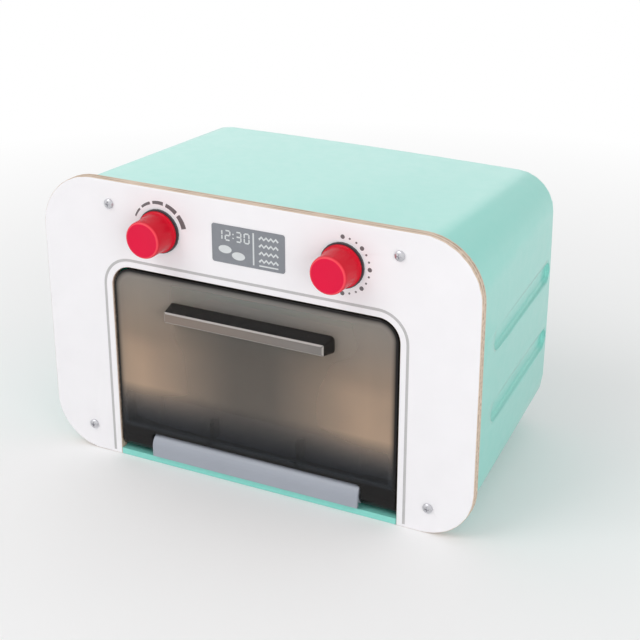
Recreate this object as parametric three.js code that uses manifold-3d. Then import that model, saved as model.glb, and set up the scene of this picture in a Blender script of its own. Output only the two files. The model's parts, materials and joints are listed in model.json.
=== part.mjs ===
import * as THREE from 'three';
import { mergeVertices } from 'three/addons/utils/BufferGeometryUtils.js';
import Module from 'manifold-3d';

const wasm = await Module();
wasm.setup();

// Toy oven in millimetres. X runs to the viewer's right, Y to the back, Z up.
// While it is built, Y is zero on the face of the front board and Z under its legs.

// Clearances and cuts
const fit = 0.3;
const doorGap = 1.3;
const screwGap = 0.35;
const overrun = 2;
const weldDistance = 0.0005;

// Front board
const boardWidth = 270;
const boardHeight = 172.6;
const boardThickness = 6;
const boardTopRadius = 34;
const boardFootRadius = 30;
const boardEdgeChamfer = 0.5;
const boardBorder = 3.5;
const boardLegWidth = 44.7;
const boardPanelHeight = 50.3;
const mouthRadius = 13;

// Housing
const housingDepth = 150;
const housingLift = 1.2;
const housingTopDraft = 6.7;
const housingSideDraft = 12;
const housingWall = 2.5;
const housingFrontTopRadius = 31;
const housingFrontFootRadius = 27;
const housingBackTopRadius = 22;
const housingBackFootRadius = 34;
const housingEdgeRadius = 6;
const sideCrown = 1;
const topCrown = 1.2;
const sillHeight = 4;
const sillLift = 0.3;
const sillSetback = 0.2;

// Grooves in the housing's sides
const grooveHeight = 13;
const grooveDepth = 2.3;
const grooveEdge = 1;
const grooveFrontInset = 27;
const grooveBackInset = 8;
const grooveCentreShares = [0.359, 0.608];

// Screws that hold the front board
const boardScrewRadius = 1.5;
const boardScrewHeadRadius = 3;
const boardScrewHeadHeight = 1.8;
const boardScrewLength = 16;
const boardScrewBossRadius = 4.5;
const boardScrewBossLength = 34;
const topScrewOutset = 32.7;
const topScrewDrop = 13.7;
const legScrewInset = 26;
const legScrewHeight = 15.9;
const bossRibThickness = 2.4;

// Door
const doorSetback = 0.4;
const doorThickness = 3;
const doorDepth = 9.6;
const doorRim = 2.5;
const doorNotchRadius = 3;
const notchRimDepth = 8.1;
const doorOpening = THREE.MathUtils.degToRad(85);
const hingeHeight = 11;
const hingeBarrelRadius = 5.6;
const hingePinRadius = 1.5;
const hingeEndWall = 1.5;
const doorFootWidth = 20.7;
const stayThickness = 2.6;
const staySpacing = 56;
const stayInnerRadius = 12.8;
const stayOuterRadius = 24;
const stayHookHeight = 2;
const stayHookAngle = THREE.MathUtils.degToRad(6);
const stayGap = 0.4;

// Door handle
const handleInset = 37;
const handleHeight = 10.5;
const handleReach = 10;
const handleDrop = 14;
const handleDraft = 2;
const handleRadius = 2.5;
const handleEdge = 0.8;
const handleWall = 1.8;

// Oven floor
const floorHeight = 40;
const floorThickness = 2.4;
const riserSetback = 3;
const riserCornerRadius = 9;
const riserReturn = 28;
const lipRadius = 7.5;
const lipWall = 2;
const lipLift = 5;
const lipBossLength = 10;
const lipBossRadius = 5.8;
const notchGap = 0.5;
const floorScrewInset = 75;
const floorScrewSetback = 89;
const floorBossRadius = 4;
const floorPadHeight = 4.3;

// Ceiling of the oven
const ceilingRise = 3.7;
const ceilingThickness = 2.4;
const ceilingSetback = 3;
const ceilingScrewInset = 65;
const ceilingScrewSetback = 79;
const leadNotchInset = 8;
const leadNotchWidth = 12;
const leadNotchDepth = 10;

// Small screws
const smallScrewRadius = 1.2;
const smallScrewHeadRadius = 2.6;
const smallScrewHeadHeight = 1.4;
const smallScrewLength = 9;
const smallBossRadius = 3.6;

// Rear feet
const footRadius = 7;
const footRecess = 1;
const footInset = 52;
const footBackInset = 21;

// Knobs and what they turn
const knobAcrossShare = 0.4185;
const knobDrop = 24.6;
const knobBackRadius = 12;
const knobFrontRadius = 10.6;
const knobLength = 16.4;
const knobEdge = 0.9;
const knobWall = 1.8;
const knobBossRadius = 4.6;
const washerRadius = 12.8;
const washerThickness = 1.2;
const bushRadius = 5.6;
const shaftRadius = 3;
const shaftFlatDepth = 0.8;
const shaftEngagement = 11;
const switchSize = 16;
const switchDepth = 8;
const switchSetback = 5;
const switchEndWall = 1;

// Circuit board
const circuitMargin = 9.5;
const circuitDrop = 10.6;
const circuitThickness = 1.6;
const circuitRise = 2.6;
const circuitScrewInset = 5;
const circuitScrewDrop = 7;
const bracketWidth = 8;
const bracketDepth = 10;
const bracketDrop = 5;
const chipRadius = 5;
const chipThickness = 1.2;
const capacitorRadius = 2.5;
const capacitorLength = 6;
const plugWidth = 6;
const plugHeight = 5;
const plugDepth = 4;

// Display label
const labelWidth = 45;
const labelHeight = 22;
const labelDrop = 24.9;
const labelThickness = 0.3;
const labelRadius = 1.5;

// Lens and lamp
const lensWidth = 52;
const lensThickness = 6;
const lensDrop = 12.3;
const lensRadius = 5;
const lensFlangeWidth = 58;
const lensFlangeDepth = 8;
const lensFlangeThickness = 1.5;
const lampRadius = 1.5;
const lampLength = 8;
const lampFlangeRadius = 2;
const lampFlangeThickness = 1;
const lampLegRadius = 0.3;
const lampLegSpacing = 2.5;
const lampLegRise = 2.6;

// Speaker
const speakerSpaceShare = 0.438;
const speakerDepth = 12;
const speakerFlange = 2;
const speakerFlangeThickness = 2;
const magnetRadius = 8;
const magnetThickness = 5;
const coneThickness = 0.5;
const coneInnerRadius = 4;
const coneDomeHeight = 1.6;
const collarWall = 1.2;
const collarDepth = 4;
const grilleHoleRadius = 1.1;
const grilleRingPitch = 4;
const grilleRings = 2;

// Batteries
const cellRadius = 5.25;
const cellLength = 44.5;
const cellNubRadius = 1.9;
const cellNubLength = 0.8;
const cellPitch = 12.5;
const cellEdge = 0.6;
const springLength = 5.2;
const springTurns = 3;
const springSteps = 12;
const springWireRadius = 0.35;
const springBackRadius = 3.6;
const springFrontRadius = 2.7;
const contactThickness = 0.5;
const contactHeight = 9;
const contactDepth = 8;
const tabHeight = 3;
const tabDepth = 2;
const tabReach = 2;
const bayWall = 1.8;
const bayLift = 21;
const bayRibThickness = 2;
const bayRibSpacing = 40;
const coverThickness = 1.6;
const coverSetback = 1.4;
const coverLedge = 1.5;
const coverRimThickness = 1.2;
const coverRimDepth = 1.2;
const coverBorder = 3;
const coverRadius = 3;
const coverScrewHeadHeight = 1.1;

// Leads
const leadRadius = 0.65;
const leadSpacing = 3;
const leadRouteInset = 13;
const leadRouteSetback = 5;

// Places that follow from the sizes above
const boardHalf = boardWidth / 2;
const mouthHalf = boardHalf - boardLegWidth;
const mouthHeight = boardHeight - boardPanelHeight;
const housingFront = boardThickness;
const housingBack = housingFront + housingDepth;
const innerBack = housingBack - housingWall;
const doorBack = doorSetback + doorDepth;
const doorInside = doorSetback + doorThickness;
const hingeDepth = doorSetback + hingeBarrelRadius;
const doorHalf = mouthHalf - doorGap;
const doorTop = mouthHeight - doorGap;
const notchHalf = doorHalf - doorFootWidth;
const lipHalf = notchHalf - doorGap;
const pinStart = lipHalf - lipBossLength + hingeEndWall;
const pinEnd = doorHalf - hingeEndWall;
const notchTop = hingeHeight + lipRadius + notchGap;
const riserFace = hingeDepth + riserSetback;
const riserBack = riserFace + floorThickness;
const returnFace = hingeDepth + hingeBarrelRadius + stayGap;
const floorUnder = floorHeight - floorThickness;
const ceilingHeight = mouthHeight + ceilingRise;
const ceilingTop = ceilingHeight + ceilingThickness;
const ceilingFront = boardThickness + ceilingSetback;
const knobAcross = knobAcrossShare * boardHalf;
const knobAxes = [-knobAcross, knobAcross];
const knobHeight = boardHeight - knobDrop;
const switchFront = boardThickness + switchSetback;
const circuitFront = switchFront + switchDepth;
const circuitBack = circuitFront + circuitThickness;
const circuitBottom = ceilingTop + circuitRise;
const circuitTop = boardHeight - circuitDrop;
const circuitHalf = knobAcross + switchSize / 2 + circuitMargin;
const labelCentreHeight = boardHeight - labelDrop;
const lensFront = doorBack + stayGap;
const lensMiddle = lensFront + lensThickness / 2;
const lensTop = ceilingTop + lensFlangeThickness;
const speakerSpace = boardHeight - boardBorder - housingTopDraft - housingWall - ceilingTop;
const speakerRadius = speakerSpaceShare * speakerSpace;
const speakerHeight = ceilingTop + speakerRadius + 2 * fit + collarWall;
const recessFloor = housingBack - coverSetback - coverThickness;
const padInside = recessFloor - coverLedge;
const bayCentre = housingLift + bayLift;
const bayHalfHeight = cellPitch / 2 + cellRadius + fit;
const bayDepth = 2 * (cellRadius + fit);
const bayFront = padInside - bayDepth;
const bayHalf = (cellLength + springLength + 2 * contactThickness + 3 * fit) / 2;
const cellCentre = bayFront + fit + cellRadius;
const coverScrewPlace = bayHalf + bayWall + fit + smallBossRadius;
const coverHalf = coverScrewPlace + coverBorder;
const coverHalfHeight = bayHalfHeight + bayWall;
const leadRoute = boardHalf - leadRouteInset;

// Colours
const colours = {
  board: { color: 0xf5f2f6, roughness: 0.45, metalness: 0 },
  mint: { color: 0xb9e0d8, roughness: 0.4, metalness: 0 },
  grey: { color: 0xa3a9b4, roughness: 0.5, metalness: 0 },
  smoke: { color: 0x4e4844, roughness: 0.15, metalness: 0 },
  red: { color: 0xd81535, roughness: 0.35, metalness: 0 },
  dark: { color: 0x3c3c40, roughness: 0.5, metalness: 0 },
  label: { color: 0x8c9196, roughness: 0.5, metalness: 0 },
  steel: { color: 0xb9b9c0, roughness: 0.3, metalness: 1 },
  brass: { color: 0xc9a960, roughness: 0.35, metalness: 1 },
  circuit: { color: 0x2f6b45, roughness: 0.5, metalness: 0 },
  cream: { color: 0xe6dcc4, roughness: 0.4, metalness: 0 },
  black: { color: 0x202022, roughness: 0.5, metalness: 0 },
  paper: { color: 0x57534b, roughness: 0.8, metalness: 0 },
  rubber: { color: 0x6d6f70, roughness: 0.9, metalness: 0 },
  cell: { color: 0x4a6f9a, roughness: 0.35, metalness: 0.3 },
  leadRed: { color: 0xb02a2a, roughness: 0.5, metalness: 0 },
  leadBlack: { color: 0x26262a, roughness: 0.5, metalness: 0 },
};

// Turning drawn forms into closed solids
function welded(geometry) {
  const bare = geometry.index ? geometry.toNonIndexed() : geometry.clone();
  bare.deleteAttribute('normal');
  bare.deleteAttribute('uv');
  const merged = mergeVertices(bare, weldDistance);
  const corners = merged.attributes.position.array;
  const index = merged.index.array;
  const kept = [];
  let volume = 0;
  for (let face = 0; face < index.length; face += 3) {
    const [a, b, c] = [index[face], index[face + 1], index[face + 2]];
    if (a === b || b === c || c === a) continue;
    kept.push(a, b, c);
    volume += tetrahedron(corners, a, b, c);
  }
  if (volume < 0) kept.reverse();
  return { corners, kept };
}

function tetrahedron(corners, a, b, c) {
  const p = new THREE.Vector3().fromArray(corners, a * 3);
  const q = new THREE.Vector3().fromArray(corners, b * 3);
  const r = new THREE.Vector3().fromArray(corners, c * 3);
  return p.dot(q.cross(r));
}

function solid(geometry) {
  const { corners, kept } = welded(geometry);
  const mesh = new wasm.Mesh({
    numProp: 3,
    vertProperties: new Float32Array(corners),
    triVerts: new Uint32Array(kept),
  });
  return new wasm.Manifold(mesh);
}

function drawn(body) {
  const mesh = body.getMesh();
  const geometry = new THREE.BufferGeometry();
  const corners = new Float32Array(mesh.vertProperties);
  geometry.setAttribute('position', new THREE.BufferAttribute(corners, 3));
  geometry.setIndex(new THREE.BufferAttribute(new Uint32Array(mesh.triVerts), 1));
  geometry.computeVertexNormals();
  return geometry;
}

// An outline drawn in two axes and pushed along the third
const drawingPlanes = {
  x: new THREE.Matrix4().makeBasis(
    new THREE.Vector3(0, 1, 0), new THREE.Vector3(0, 0, 1), new THREE.Vector3(1, 0, 0)),
  y: new THREE.Matrix4().makeBasis(
    new THREE.Vector3(1, 0, 0), new THREE.Vector3(0, 0, 1), new THREE.Vector3(0, -1, 0)),
  z: new THREE.Matrix4(),
};

function pushed(axis, shape, from, to, curveSegments = 4) {
  const extent = { depth: to - from, bevelEnabled: false, curveSegments };
  const geometry = new THREE.ExtrudeGeometry(shape, extent);
  geometry.applyMatrix4(drawingPlanes[axis]);
  const start = axis === 'y' ? to : from;
  const shift = { x: [start, 0, 0], y: [0, start, 0], z: [0, 0, start] }[axis];
  geometry.translate(...shift);
  return solid(geometry);
}

function block(x, y, z) {
  const geometry = new THREE.BoxGeometry(x[1] - x[0], y[1] - y[0], z[1] - z[0]);
  geometry.translate((x[0] + x[1]) / 2, (y[0] + y[1]) / 2, (z[0] + z[1]) / 2);
  return solid(geometry);
}

function turned(axis, profile, at, sides = 24) {
  const corners = profile.map(([radius, along]) => new THREE.Vector2(radius, along));
  const geometry = new THREE.LatheGeometry(corners, sides);
  if (axis === 'x') geometry.rotateZ(-Math.PI / 2);
  if (axis === 'z') geometry.rotateX(Math.PI / 2);
  geometry.translate(...at);
  return solid(geometry);
}

function rod(axis, radius, at, from, to, sides = 10) {
  return turned(axis, [[0, from], [radius, from], [radius, to], [0, to]], at, sides);
}

function roundedBox(halfWidth, bottom, top, radius) {
  const shape = new THREE.Shape();
  shape.absarc(halfWidth - radius, bottom + radius, radius, -Math.PI / 2, 0);
  shape.absarc(halfWidth - radius, top - radius, radius, 0, Math.PI / 2);
  shape.absarc(-halfWidth + radius, top - radius, radius, Math.PI / 2, Math.PI);
  shape.absarc(-halfWidth + radius, bottom + radius, radius, Math.PI, Math.PI * 3 / 2);
  return shape;
}

function polygon(points) {
  return new THREE.Shape(points.map(([u, v]) => new THREE.Vector2(u, v)));
}

function arcPoints(u, v, radius, start, end, steps) {
  const points = [];
  for (let step = 0; step <= steps; step += 1) {
    const angle = start + (end - start) * step / steps;
    points.push([u + radius * Math.cos(angle), v + radius * Math.sin(angle)]);
  }
  return points;
}

// A skin through loops of points that lie one behind the other along Y
function lofted(loops) {
  const corners = [];
  const index = [];
  const count = loops[0].points.length;
  for (const { y, points } of loops) {
    for (const [x, z] of points) corners.push(x, y, z);
  }
  for (let row = 0; row < loops.length - 1; row += 1) {
    for (let step = 0; step < count; step += 1) {
      const a = row * count + step;
      const b = row * count + (step + 1) % count;
      index.push(a, b, a + count, b, b + count, a + count);
    }
  }
  const last = (loops.length - 1) * count;
  for (const [a, b, c] of capFaces(loops[0].points)) index.push(a, c, b);
  for (const [a, b, c] of capFaces(loops[loops.length - 1].points)) {
    index.push(last + a, last + b, last + c);
  }
  const geometry = new THREE.BufferGeometry();
  geometry.setAttribute('position', new THREE.Float32BufferAttribute(corners, 3));
  geometry.setIndex(index);
  return solid(geometry);
}

function capFaces(points) {
  return THREE.ShapeUtils.triangulateShape(points.map(([x, z]) => new THREE.Vector2(x, z)), []);
}

function joined(...bodies) {
  return bodies.reduce((sum, body) => sum.add(body));
}

function without(body, ...cuts) {
  return cuts.reduce((left, part) => left.subtract(part), body);
}

// Front board with the oven's mouth cut out between its legs
function boardOutline() {
  const shape = new THREE.Shape();
  shape.moveTo(-mouthHalf, 0);
  shape.lineTo(-mouthHalf, mouthHeight - mouthRadius);
  shape.absarc(
    -mouthHalf + mouthRadius, mouthHeight - mouthRadius, mouthRadius, Math.PI, Math.PI / 2, true);
  shape.absarc(mouthHalf - mouthRadius, mouthHeight - mouthRadius, mouthRadius, Math.PI / 2, 0, true);
  shape.lineTo(mouthHalf, 0);
  shape.absarc(boardHalf - boardFootRadius, boardFootRadius, boardFootRadius, -Math.PI / 2, 0);
  shape.absarc(boardHalf - boardTopRadius, boardHeight - boardTopRadius, boardTopRadius, 0, Math.PI / 2);
  shape.absarc(
    -boardHalf + boardTopRadius, boardHeight - boardTopRadius, boardTopRadius, Math.PI / 2, Math.PI);
  shape.absarc(-boardHalf + boardFootRadius, boardFootRadius, boardFootRadius, Math.PI, Math.PI * 3 / 2);
  return shape;
}

function boardScrewPlaces() {
  const topAcross = knobAcross + topScrewOutset;
  const legAcross = boardHalf - legScrewInset;
  return [
    { name: 'board_screw_top_left', x: -topAcross, z: boardHeight - topScrewDrop },
    { name: 'board_screw_top_right', x: topAcross, z: boardHeight - topScrewDrop },
    { name: 'board_screw_leg_left', x: -legAcross, z: legScrewHeight },
    { name: 'board_screw_leg_right', x: legAcross, z: legScrewHeight },
  ];
}

function frontBoard() {
  const geometry = new THREE.ExtrudeGeometry(boardOutline(), {
    depth: boardThickness - 2 * boardEdgeChamfer,
    bevelThickness: boardEdgeChamfer,
    bevelSize: boardEdgeChamfer,
    bevelOffset: -boardEdgeChamfer,
    bevelSegments: 1,
    curveSegments: 6,
  });
  geometry.applyMatrix4(drawingPlanes.y);
  geometry.translate(0, boardThickness - boardEdgeChamfer, 0);
  const holes = [];
  for (const { x, z } of boardScrewPlaces()) {
    holes.push(rod('y', boardScrewRadius + screwGap, [x, 0, z], -overrun, boardThickness + overrun));
  }
  for (const x of knobAxes) {
    const at = [x, 0, knobHeight];
    holes.push(rod('y', bushRadius + fit, at, -overrun, boardThickness + overrun, 24));
  }
  return without(solid(geometry), ...holes);
}

// A screw whose head sits at `seat` and whose shank runs the way `turn` gives
function screw(axis, at, seat, turn, shape) {
  const dome = shape.headHeight / 3;
  const profile = [
    [0, seat - turn * shape.headHeight],
    [shape.headRadius - dome, seat - turn * shape.headHeight],
    [shape.headRadius, seat - turn * (shape.headHeight - dome)],
    [shape.headRadius, seat],
    [shape.radius, seat],
    [shape.radius, seat + turn * (shape.length - shape.radius)],
    [0, seat + turn * shape.length],
  ];
  return turned(axis, profile, at, shape.sides);
}

const boardScrew = {
  radius: boardScrewRadius,
  headRadius: boardScrewHeadRadius,
  headHeight: boardScrewHeadHeight,
  length: boardScrewLength,
  sides: 14,
};
const smallScrew = {
  radius: smallScrewRadius,
  headRadius: smallScrewHeadRadius,
  headHeight: smallScrewHeadHeight,
  length: smallScrewLength,
  sides: 8,
};
const coverScrew = {
  radius: smallScrewRadius,
  headRadius: smallScrewHeadRadius,
  headHeight: coverScrewHeadHeight,
  length: smallScrewLength,
  sides: 8,
};

// Section of the housing at one depth, moved in by `inset`
function housingShareAt(y) {
  return (y - housingFront) / housingDepth;
}

function housingSection(y, inset) {
  const share = housingShareAt(y);
  const frontHalf = boardHalf - boardBorder;
  const frontTop = boardHeight - boardBorder;
  const half = frontHalf - housingSideDraft * share - inset;
  const top = frontTop - housingTopDraft * share - inset;
  const bottom = housingLift + inset;
  const topRadius = THREE.MathUtils.lerp(housingFrontTopRadius, housingBackTopRadius, share) - inset;
  const footRadiusHere = THREE.MathUtils.lerp(housingFrontFootRadius, housingBackFootRadius, share) - inset;
  return { half, top, bottom, topRadius, footRadiusHere };
}

function crowned(section, x, z) {
  const middle = (section.top + section.bottom) / 2;
  const acrossShare = x / section.half;
  const upShare = (z - middle) / (section.top - middle);
  const outward = sideCrown * acrossShare * Math.abs(acrossShare) * (1 - upShare * upShare);
  const upward = topCrown * (1 - acrossShare * acrossShare) * Math.max(0, upShare) ** 2;
  return [x + outward, z + upward];
}

function betweenPoints([u0, v0], [u1, v1], steps) {
  const points = [];
  for (let step = 1; step < steps; step += 1) {
    const share = step / steps;
    points.push([THREE.MathUtils.lerp(u0, u1, share), THREE.MathUtils.lerp(v0, v1, share)]);
  }
  return points;
}

function housingLoop(y, inset) {
  const section = housingSection(y, inset);
  const { half, top, bottom, topRadius, footRadiusHere } = section;
  const quarter = Math.PI / 2;
  const corners = [
    arcPoints(half - footRadiusHere, bottom + footRadiusHere, footRadiusHere, -quarter, 0, 6),
    arcPoints(half - topRadius, top - topRadius, topRadius, 0, quarter, 6),
    arcPoints(-half + topRadius, top - topRadius, topRadius, quarter, 2 * quarter, 6),
    arcPoints(
      -half + footRadiusHere, bottom + footRadiusHere, footRadiusHere, 2 * quarter, 3 * quarter, 6),
  ];
  const points = [];
  corners.forEach((arc, place) => {
    const next = corners[(place + 1) % corners.length];
    points.push(...arc, ...betweenPoints(arc[arc.length - 1], next[0], 4));
  });
  return { y, points: points.map(([x, z]) => crowned(section, x, z)) };
}

function housingForm(inset, front, back) {
  const edge = housingEdgeRadius - Math.min(inset, housingEdgeRadius / 2);
  const loops = [housingLoop(front, inset)];
  for (let step = 0; step <= 4; step += 1) {
    const angle = Math.PI / 2 * step / 4;
    loops.push(housingLoop(back - edge + edge * Math.sin(angle), inset + edge * (1 - Math.cos(angle))));
  }
  return lofted(loops);
}

function innerHalfAt(y, z) {
  const section = housingSection(y, housingWall);
  return crowned(section, section.half, z)[0];
}

// Long grooves in the sides, each with a wall of the same thickness behind it
function grooveForm(side, centre, depth, grow) {
  const radius = grooveHeight / 2 + grow;
  const first = grooveFrontInset + grooveHeight / 2;
  const last = housingDepth - grooveBackInset - grooveHeight / 2;
  const shape = new THREE.Shape();
  shape.absarc(last, centre, radius, -Math.PI / 2, Math.PI / 2);
  shape.absarc(first, centre, radius, Math.PI / 2, Math.PI * 3 / 2);
  const geometry = new THREE.ExtrudeGeometry(shape, {
    depth: depth + overrun - grooveEdge,
    bevelThickness: grooveEdge,
    bevelSize: grooveEdge,
    bevelOffset: -grooveEdge,
    bevelSegments: 1,
    curveSegments: 4,
  });
  geometry.translate(0, 0, grooveEdge);
  geometry.applyMatrix4(drawingPlanes.x);
  const draft = Math.atan(housingSideDraft / housingDepth);
  const section = housingSection(housingFront, 0);
  const surface = crowned(section, section.half, centre)[0];
  geometry.rotateZ(draft);
  geometry.translate(surface - depth / Math.cos(draft), housingFront, 0);
  geometry.scale(side, 1, 1);
  return solid(geometry);
}

function grooves(depth, grow) {
  const forms = [];
  for (const side of [-1, 1]) {
    for (const share of grooveCentreShares) forms.push(grooveForm(side, share * boardHeight, depth, grow));
  }
  return forms;
}

function boardScrewBosses() {
  const bosses = [];
  for (const { x, z } of boardScrewPlaces()) {
    const end = housingFront + boardScrewBossLength;
    const rib = [x - bossRibThickness / 2, x + bossRibThickness / 2];
    const up = z > boardHeight / 2;
    const reach = up ? [z, boardHeight] : [0, z];
    bosses.push(rod('y', boardScrewBossRadius, [x, 0, z], housingFront, end));
    bosses.push(block(rib, [housingFront, end], reach));
  }
  return bosses;
}

function ceilingScrewPlaces() {
  return [-1, 1].map((side) => [side * (boardHalf - ceilingScrewInset), housingFront + ceilingScrewSetback]);
}

function floorScrewPlaces() {
  return [-1, 1].map((side) => [side * (boardHalf - floorScrewInset), housingFront + floorScrewSetback]);
}

function circuitScrewPlaces() {
  return [-1, 1].map((side) => [side * (circuitHalf - circuitScrewInset), circuitTop - circuitScrewDrop]);
}

function innerSupports() {
  const supports = [];
  for (const [x, y] of ceilingScrewPlaces()) {
    supports.push(rod('z', smallBossRadius, [x, y, 0], ceilingTop, boardHeight));
  }
  for (const [x, y] of floorScrewPlaces()) {
    const padTop = housingLift + floorPadHeight;
    supports.push(rod('z', floorBossRadius + housingWall, [x, y, 0], housingLift, padTop));
  }
  for (const [x, z] of circuitScrewPlaces()) {
    const across = [x - bracketWidth / 2, x + bracketWidth / 2];
    const reach = [circuitBack, circuitBack + bracketDepth];
    supports.push(block(across, reach, [z - bracketDrop, boardHeight]));
  }
  return supports;
}

function batterySupports() {
  const supports = [];
  const outerBottom = bayCentre - bayHalfHeight - bayWall;
  for (const side of [-1, 1]) {
    const x = side * bayRibSpacing / 2;
    const across = [x - bayRibThickness / 2, x + bayRibThickness / 2];
    supports.push(block(across, [bayFront - bayWall, housingBack], [housingLift, outerBottom]));
    const at = [side * coverScrewPlace, 0, bayCentre];
    supports.push(rod('y', smallBossRadius, at, recessFloor - smallScrewLength, housingBack));
  }
  const padHalf = coverHalf + fit + housingWall;
  const padHalfHeight = coverHalfHeight + fit + housingWall;
  const padTop = Math.min(bayCentre + padHalfHeight, floorUnder - fit);
  const padShape = roundedBox(padHalf, bayCentre - padHalfHeight, padTop, coverRadius);
  supports.push(pushed('y', padShape, padInside, housingBack));
  return supports;
}

function speakerCollar() {
  const inner = speakerRadius + fit;
  const outer = inner + collarWall;
  const front = innerBack - collarDepth;
  const at = [0, 0, speakerHeight];
  const cup = rod('y', outer, at, front, housingBack, 24);
  return cup.subtract(rod('y', inner, at, front - overrun, innerBack, 24));
}

function grilleHoles() {
  const holes = [];
  for (let ring = 0; ring <= grilleRings; ring += 1) {
    const count = Math.max(1, 6 * ring);
    for (let place = 0; place < count; place += 1) {
      const angle = 2 * Math.PI * place / count;
      const x = grilleRingPitch * ring * Math.sin(angle);
      const z = speakerHeight + grilleRingPitch * ring * Math.cos(angle);
      const at = [x, 0, z];
      holes.push(rod('y', grilleHoleRadius, at, innerBack - overrun, housingBack + overrun, 6));
    }
  }
  return holes;
}

function footPlaces() {
  return [-1, 1].map((side) => [side * (boardHalf - footInset), housingBack - footBackInset]);
}

function housing() {
  const outer = housingForm(0, housingFront, housingBack);
  const hollow = housingForm(housingWall, housingFront - overrun, innerBack);
  const supports = joined(...boardScrewBosses(), ...innerSupports(), ...batterySupports());
  const ribs = joined(...grooves(grooveDepth + housingWall, housingWall));
  const sillHalf = mouthHalf - fit;
  const sillDepth = [sillSetback, housingFront + housingWall];
  const sill = block([-sillHalf, sillHalf], sillDepth, [sillLift, sillHeight]);
  const inside = joined(supports, ribs).intersect(outer);
  let body = joined(outer.subtract(hollow), inside, speakerCollar(), sill);
  body = without(body, ...grooves(grooveDepth, 0), ...grilleHoles());
  for (const { x, z } of boardScrewPlaces()) {
    const end = boardScrewLength + overrun;
    const at = [x, 0, z];
    body = body.subtract(rod('y', boardScrewRadius + screwGap, at, housingFront - overrun, end));
  }
  for (const [x, y] of ceilingScrewPlaces()) {
    const end = ceilingHeight + smallScrewLength + fit;
    const at = [x, y, 0];
    body = body.subtract(rod('z', smallScrewRadius + screwGap, at, ceilingTop - overrun, end));
  }
  for (const [x, z] of circuitScrewPlaces()) {
    const end = circuitFront + smallScrewLength + fit;
    const at = [x, 0, z];
    body = body.subtract(rod('y', smallScrewRadius + screwGap, at, circuitBack - overrun, end));
  }
  for (const [x, y] of floorScrewPlaces()) {
    const padTop = housingLift + floorPadHeight;
    const seat = housingLift + smallScrewHeadHeight + fit;
    body = body.subtract(rod('z', smallScrewRadius + screwGap, [x, y, 0], 0, padTop + overrun));
    body = body.subtract(rod('z', smallScrewHeadRadius + screwGap, [x, y, 0], 0, seat));
  }
  for (const [x, y] of footPlaces()) {
    body = body.subtract(rod('z', footRadius + fit, [x, y, 0], 0, housingLift + footRecess, 20));
  }
  return without(body, ...batteryCuts());
}

function batteryCuts() {
  const recess = roundedBox(
    coverHalf + fit, bayCentre - coverHalfHeight - fit, bayCentre + coverHalfHeight + fit, coverRadius + fit);
  const opening = roundedBox(bayHalf, bayCentre - bayHalfHeight, bayCentre + bayHalfHeight, fit);
  const cuts = [
    pushed('y', recess, recessFloor, housingBack + overrun),
    pushed('y', opening, padInside - overrun, housingBack + overrun),
  ];
  for (const side of [-1, 1]) {
    const at = [side * coverScrewPlace, 0, bayCentre];
    const end = recessFloor + coverThickness - smallScrewLength - fit;
    cuts.push(rod('y', smallScrewRadius + screwGap, at, end, housingBack + overrun));
  }
  return cuts;
}

// Corner of a plate that lies in the housing, cut off inside the rounded back edge
function backCorner(sideAt, back) {
  const cutOff = housingEdgeRadius - housingWall;
  return [[sideAt(back - cutOff), back - cutOff], [sideAt(back) - cutOff, back]];
}

// Oven floor with its riser, the lip that the door turns round and the slots for the stays
function floorPlan(setin, back, sideAt) {
  const bendDepth = riserCornerRadius - (returnFace - riserFace);
  const flatHalf = notchHalf - Math.sqrt(riserCornerRadius ** 2 - bendDepth ** 2);
  const centre = riserFace + riserCornerRadius;
  const radius = riserCornerRadius - setin;
  const end = -Math.asin((centre - returnFace - setin) / radius);
  const right = [
    ...arcPoints(flatHalf, centre, radius, -Math.PI / 2, end, 5),
    [sideAt(returnFace + setin), returnFace + setin],
    ...backCorner(sideAt, back),
  ];
  const left = right.map(([x, y]) => [-x, y]).reverse();
  return polygon([...right, ...left]);
}

function stays(side) {
  const start = Math.acos((doorInside - hingeDepth) / stayInnerRadius);
  const hookRadius = stayOuterRadius + stayHookHeight;
  const hookStart = Math.acos((riserBack + stayGap - hingeDepth) / hookRadius) - doorOpening;
  const end = hookStart - stayHookAngle;
  const outline = polygon([
    ...arcPoints(hingeDepth, hingeHeight, stayInnerRadius, start, end, 16),
    ...arcPoints(hingeDepth, hingeHeight, hookRadius, end, hookStart, 2),
    ...arcPoints(hingeDepth, hingeHeight, stayOuterRadius, hookStart, start, 16),
  ]);
  const x = side * staySpacing / 2;
  return pushed('x', outline, x - stayThickness / 2, x + stayThickness / 2);
}

function staySlot(side) {
  const bottom = hingeHeight + Math.sqrt(stayInnerRadius ** 2 - (riserBack - hingeDepth) ** 2) - stayGap;
  const top = hingeHeight + Math.sqrt(stayOuterRadius ** 2 - (riserFace - hingeDepth) ** 2) + stayGap;
  const x = side * staySpacing / 2;
  const half = stayThickness / 2 + stayGap;
  return block([x - half, x + half], [riserFace - overrun, riserBack + overrun], [bottom, top]);
}

function lip() {
  const top = hingeHeight + lipRadius;
  const inner = lipRadius - lipWall;
  const front = hingeDepth - lipRadius;
  const quarter = Math.PI / 2;
  const outline = polygon([
    [riserBack, top],
    ...arcPoints(hingeDepth, hingeHeight, lipRadius, quarter, 2 * quarter, 8),
    [front, lipLift],
    [front + lipWall, lipLift],
    ...arcPoints(hingeDepth, hingeHeight, inner, 2 * quarter, quarter, 8),
    [riserBack, top - lipWall],
  ]);
  return pushed('x', outline, -lipHalf, lipHalf);
}

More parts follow.
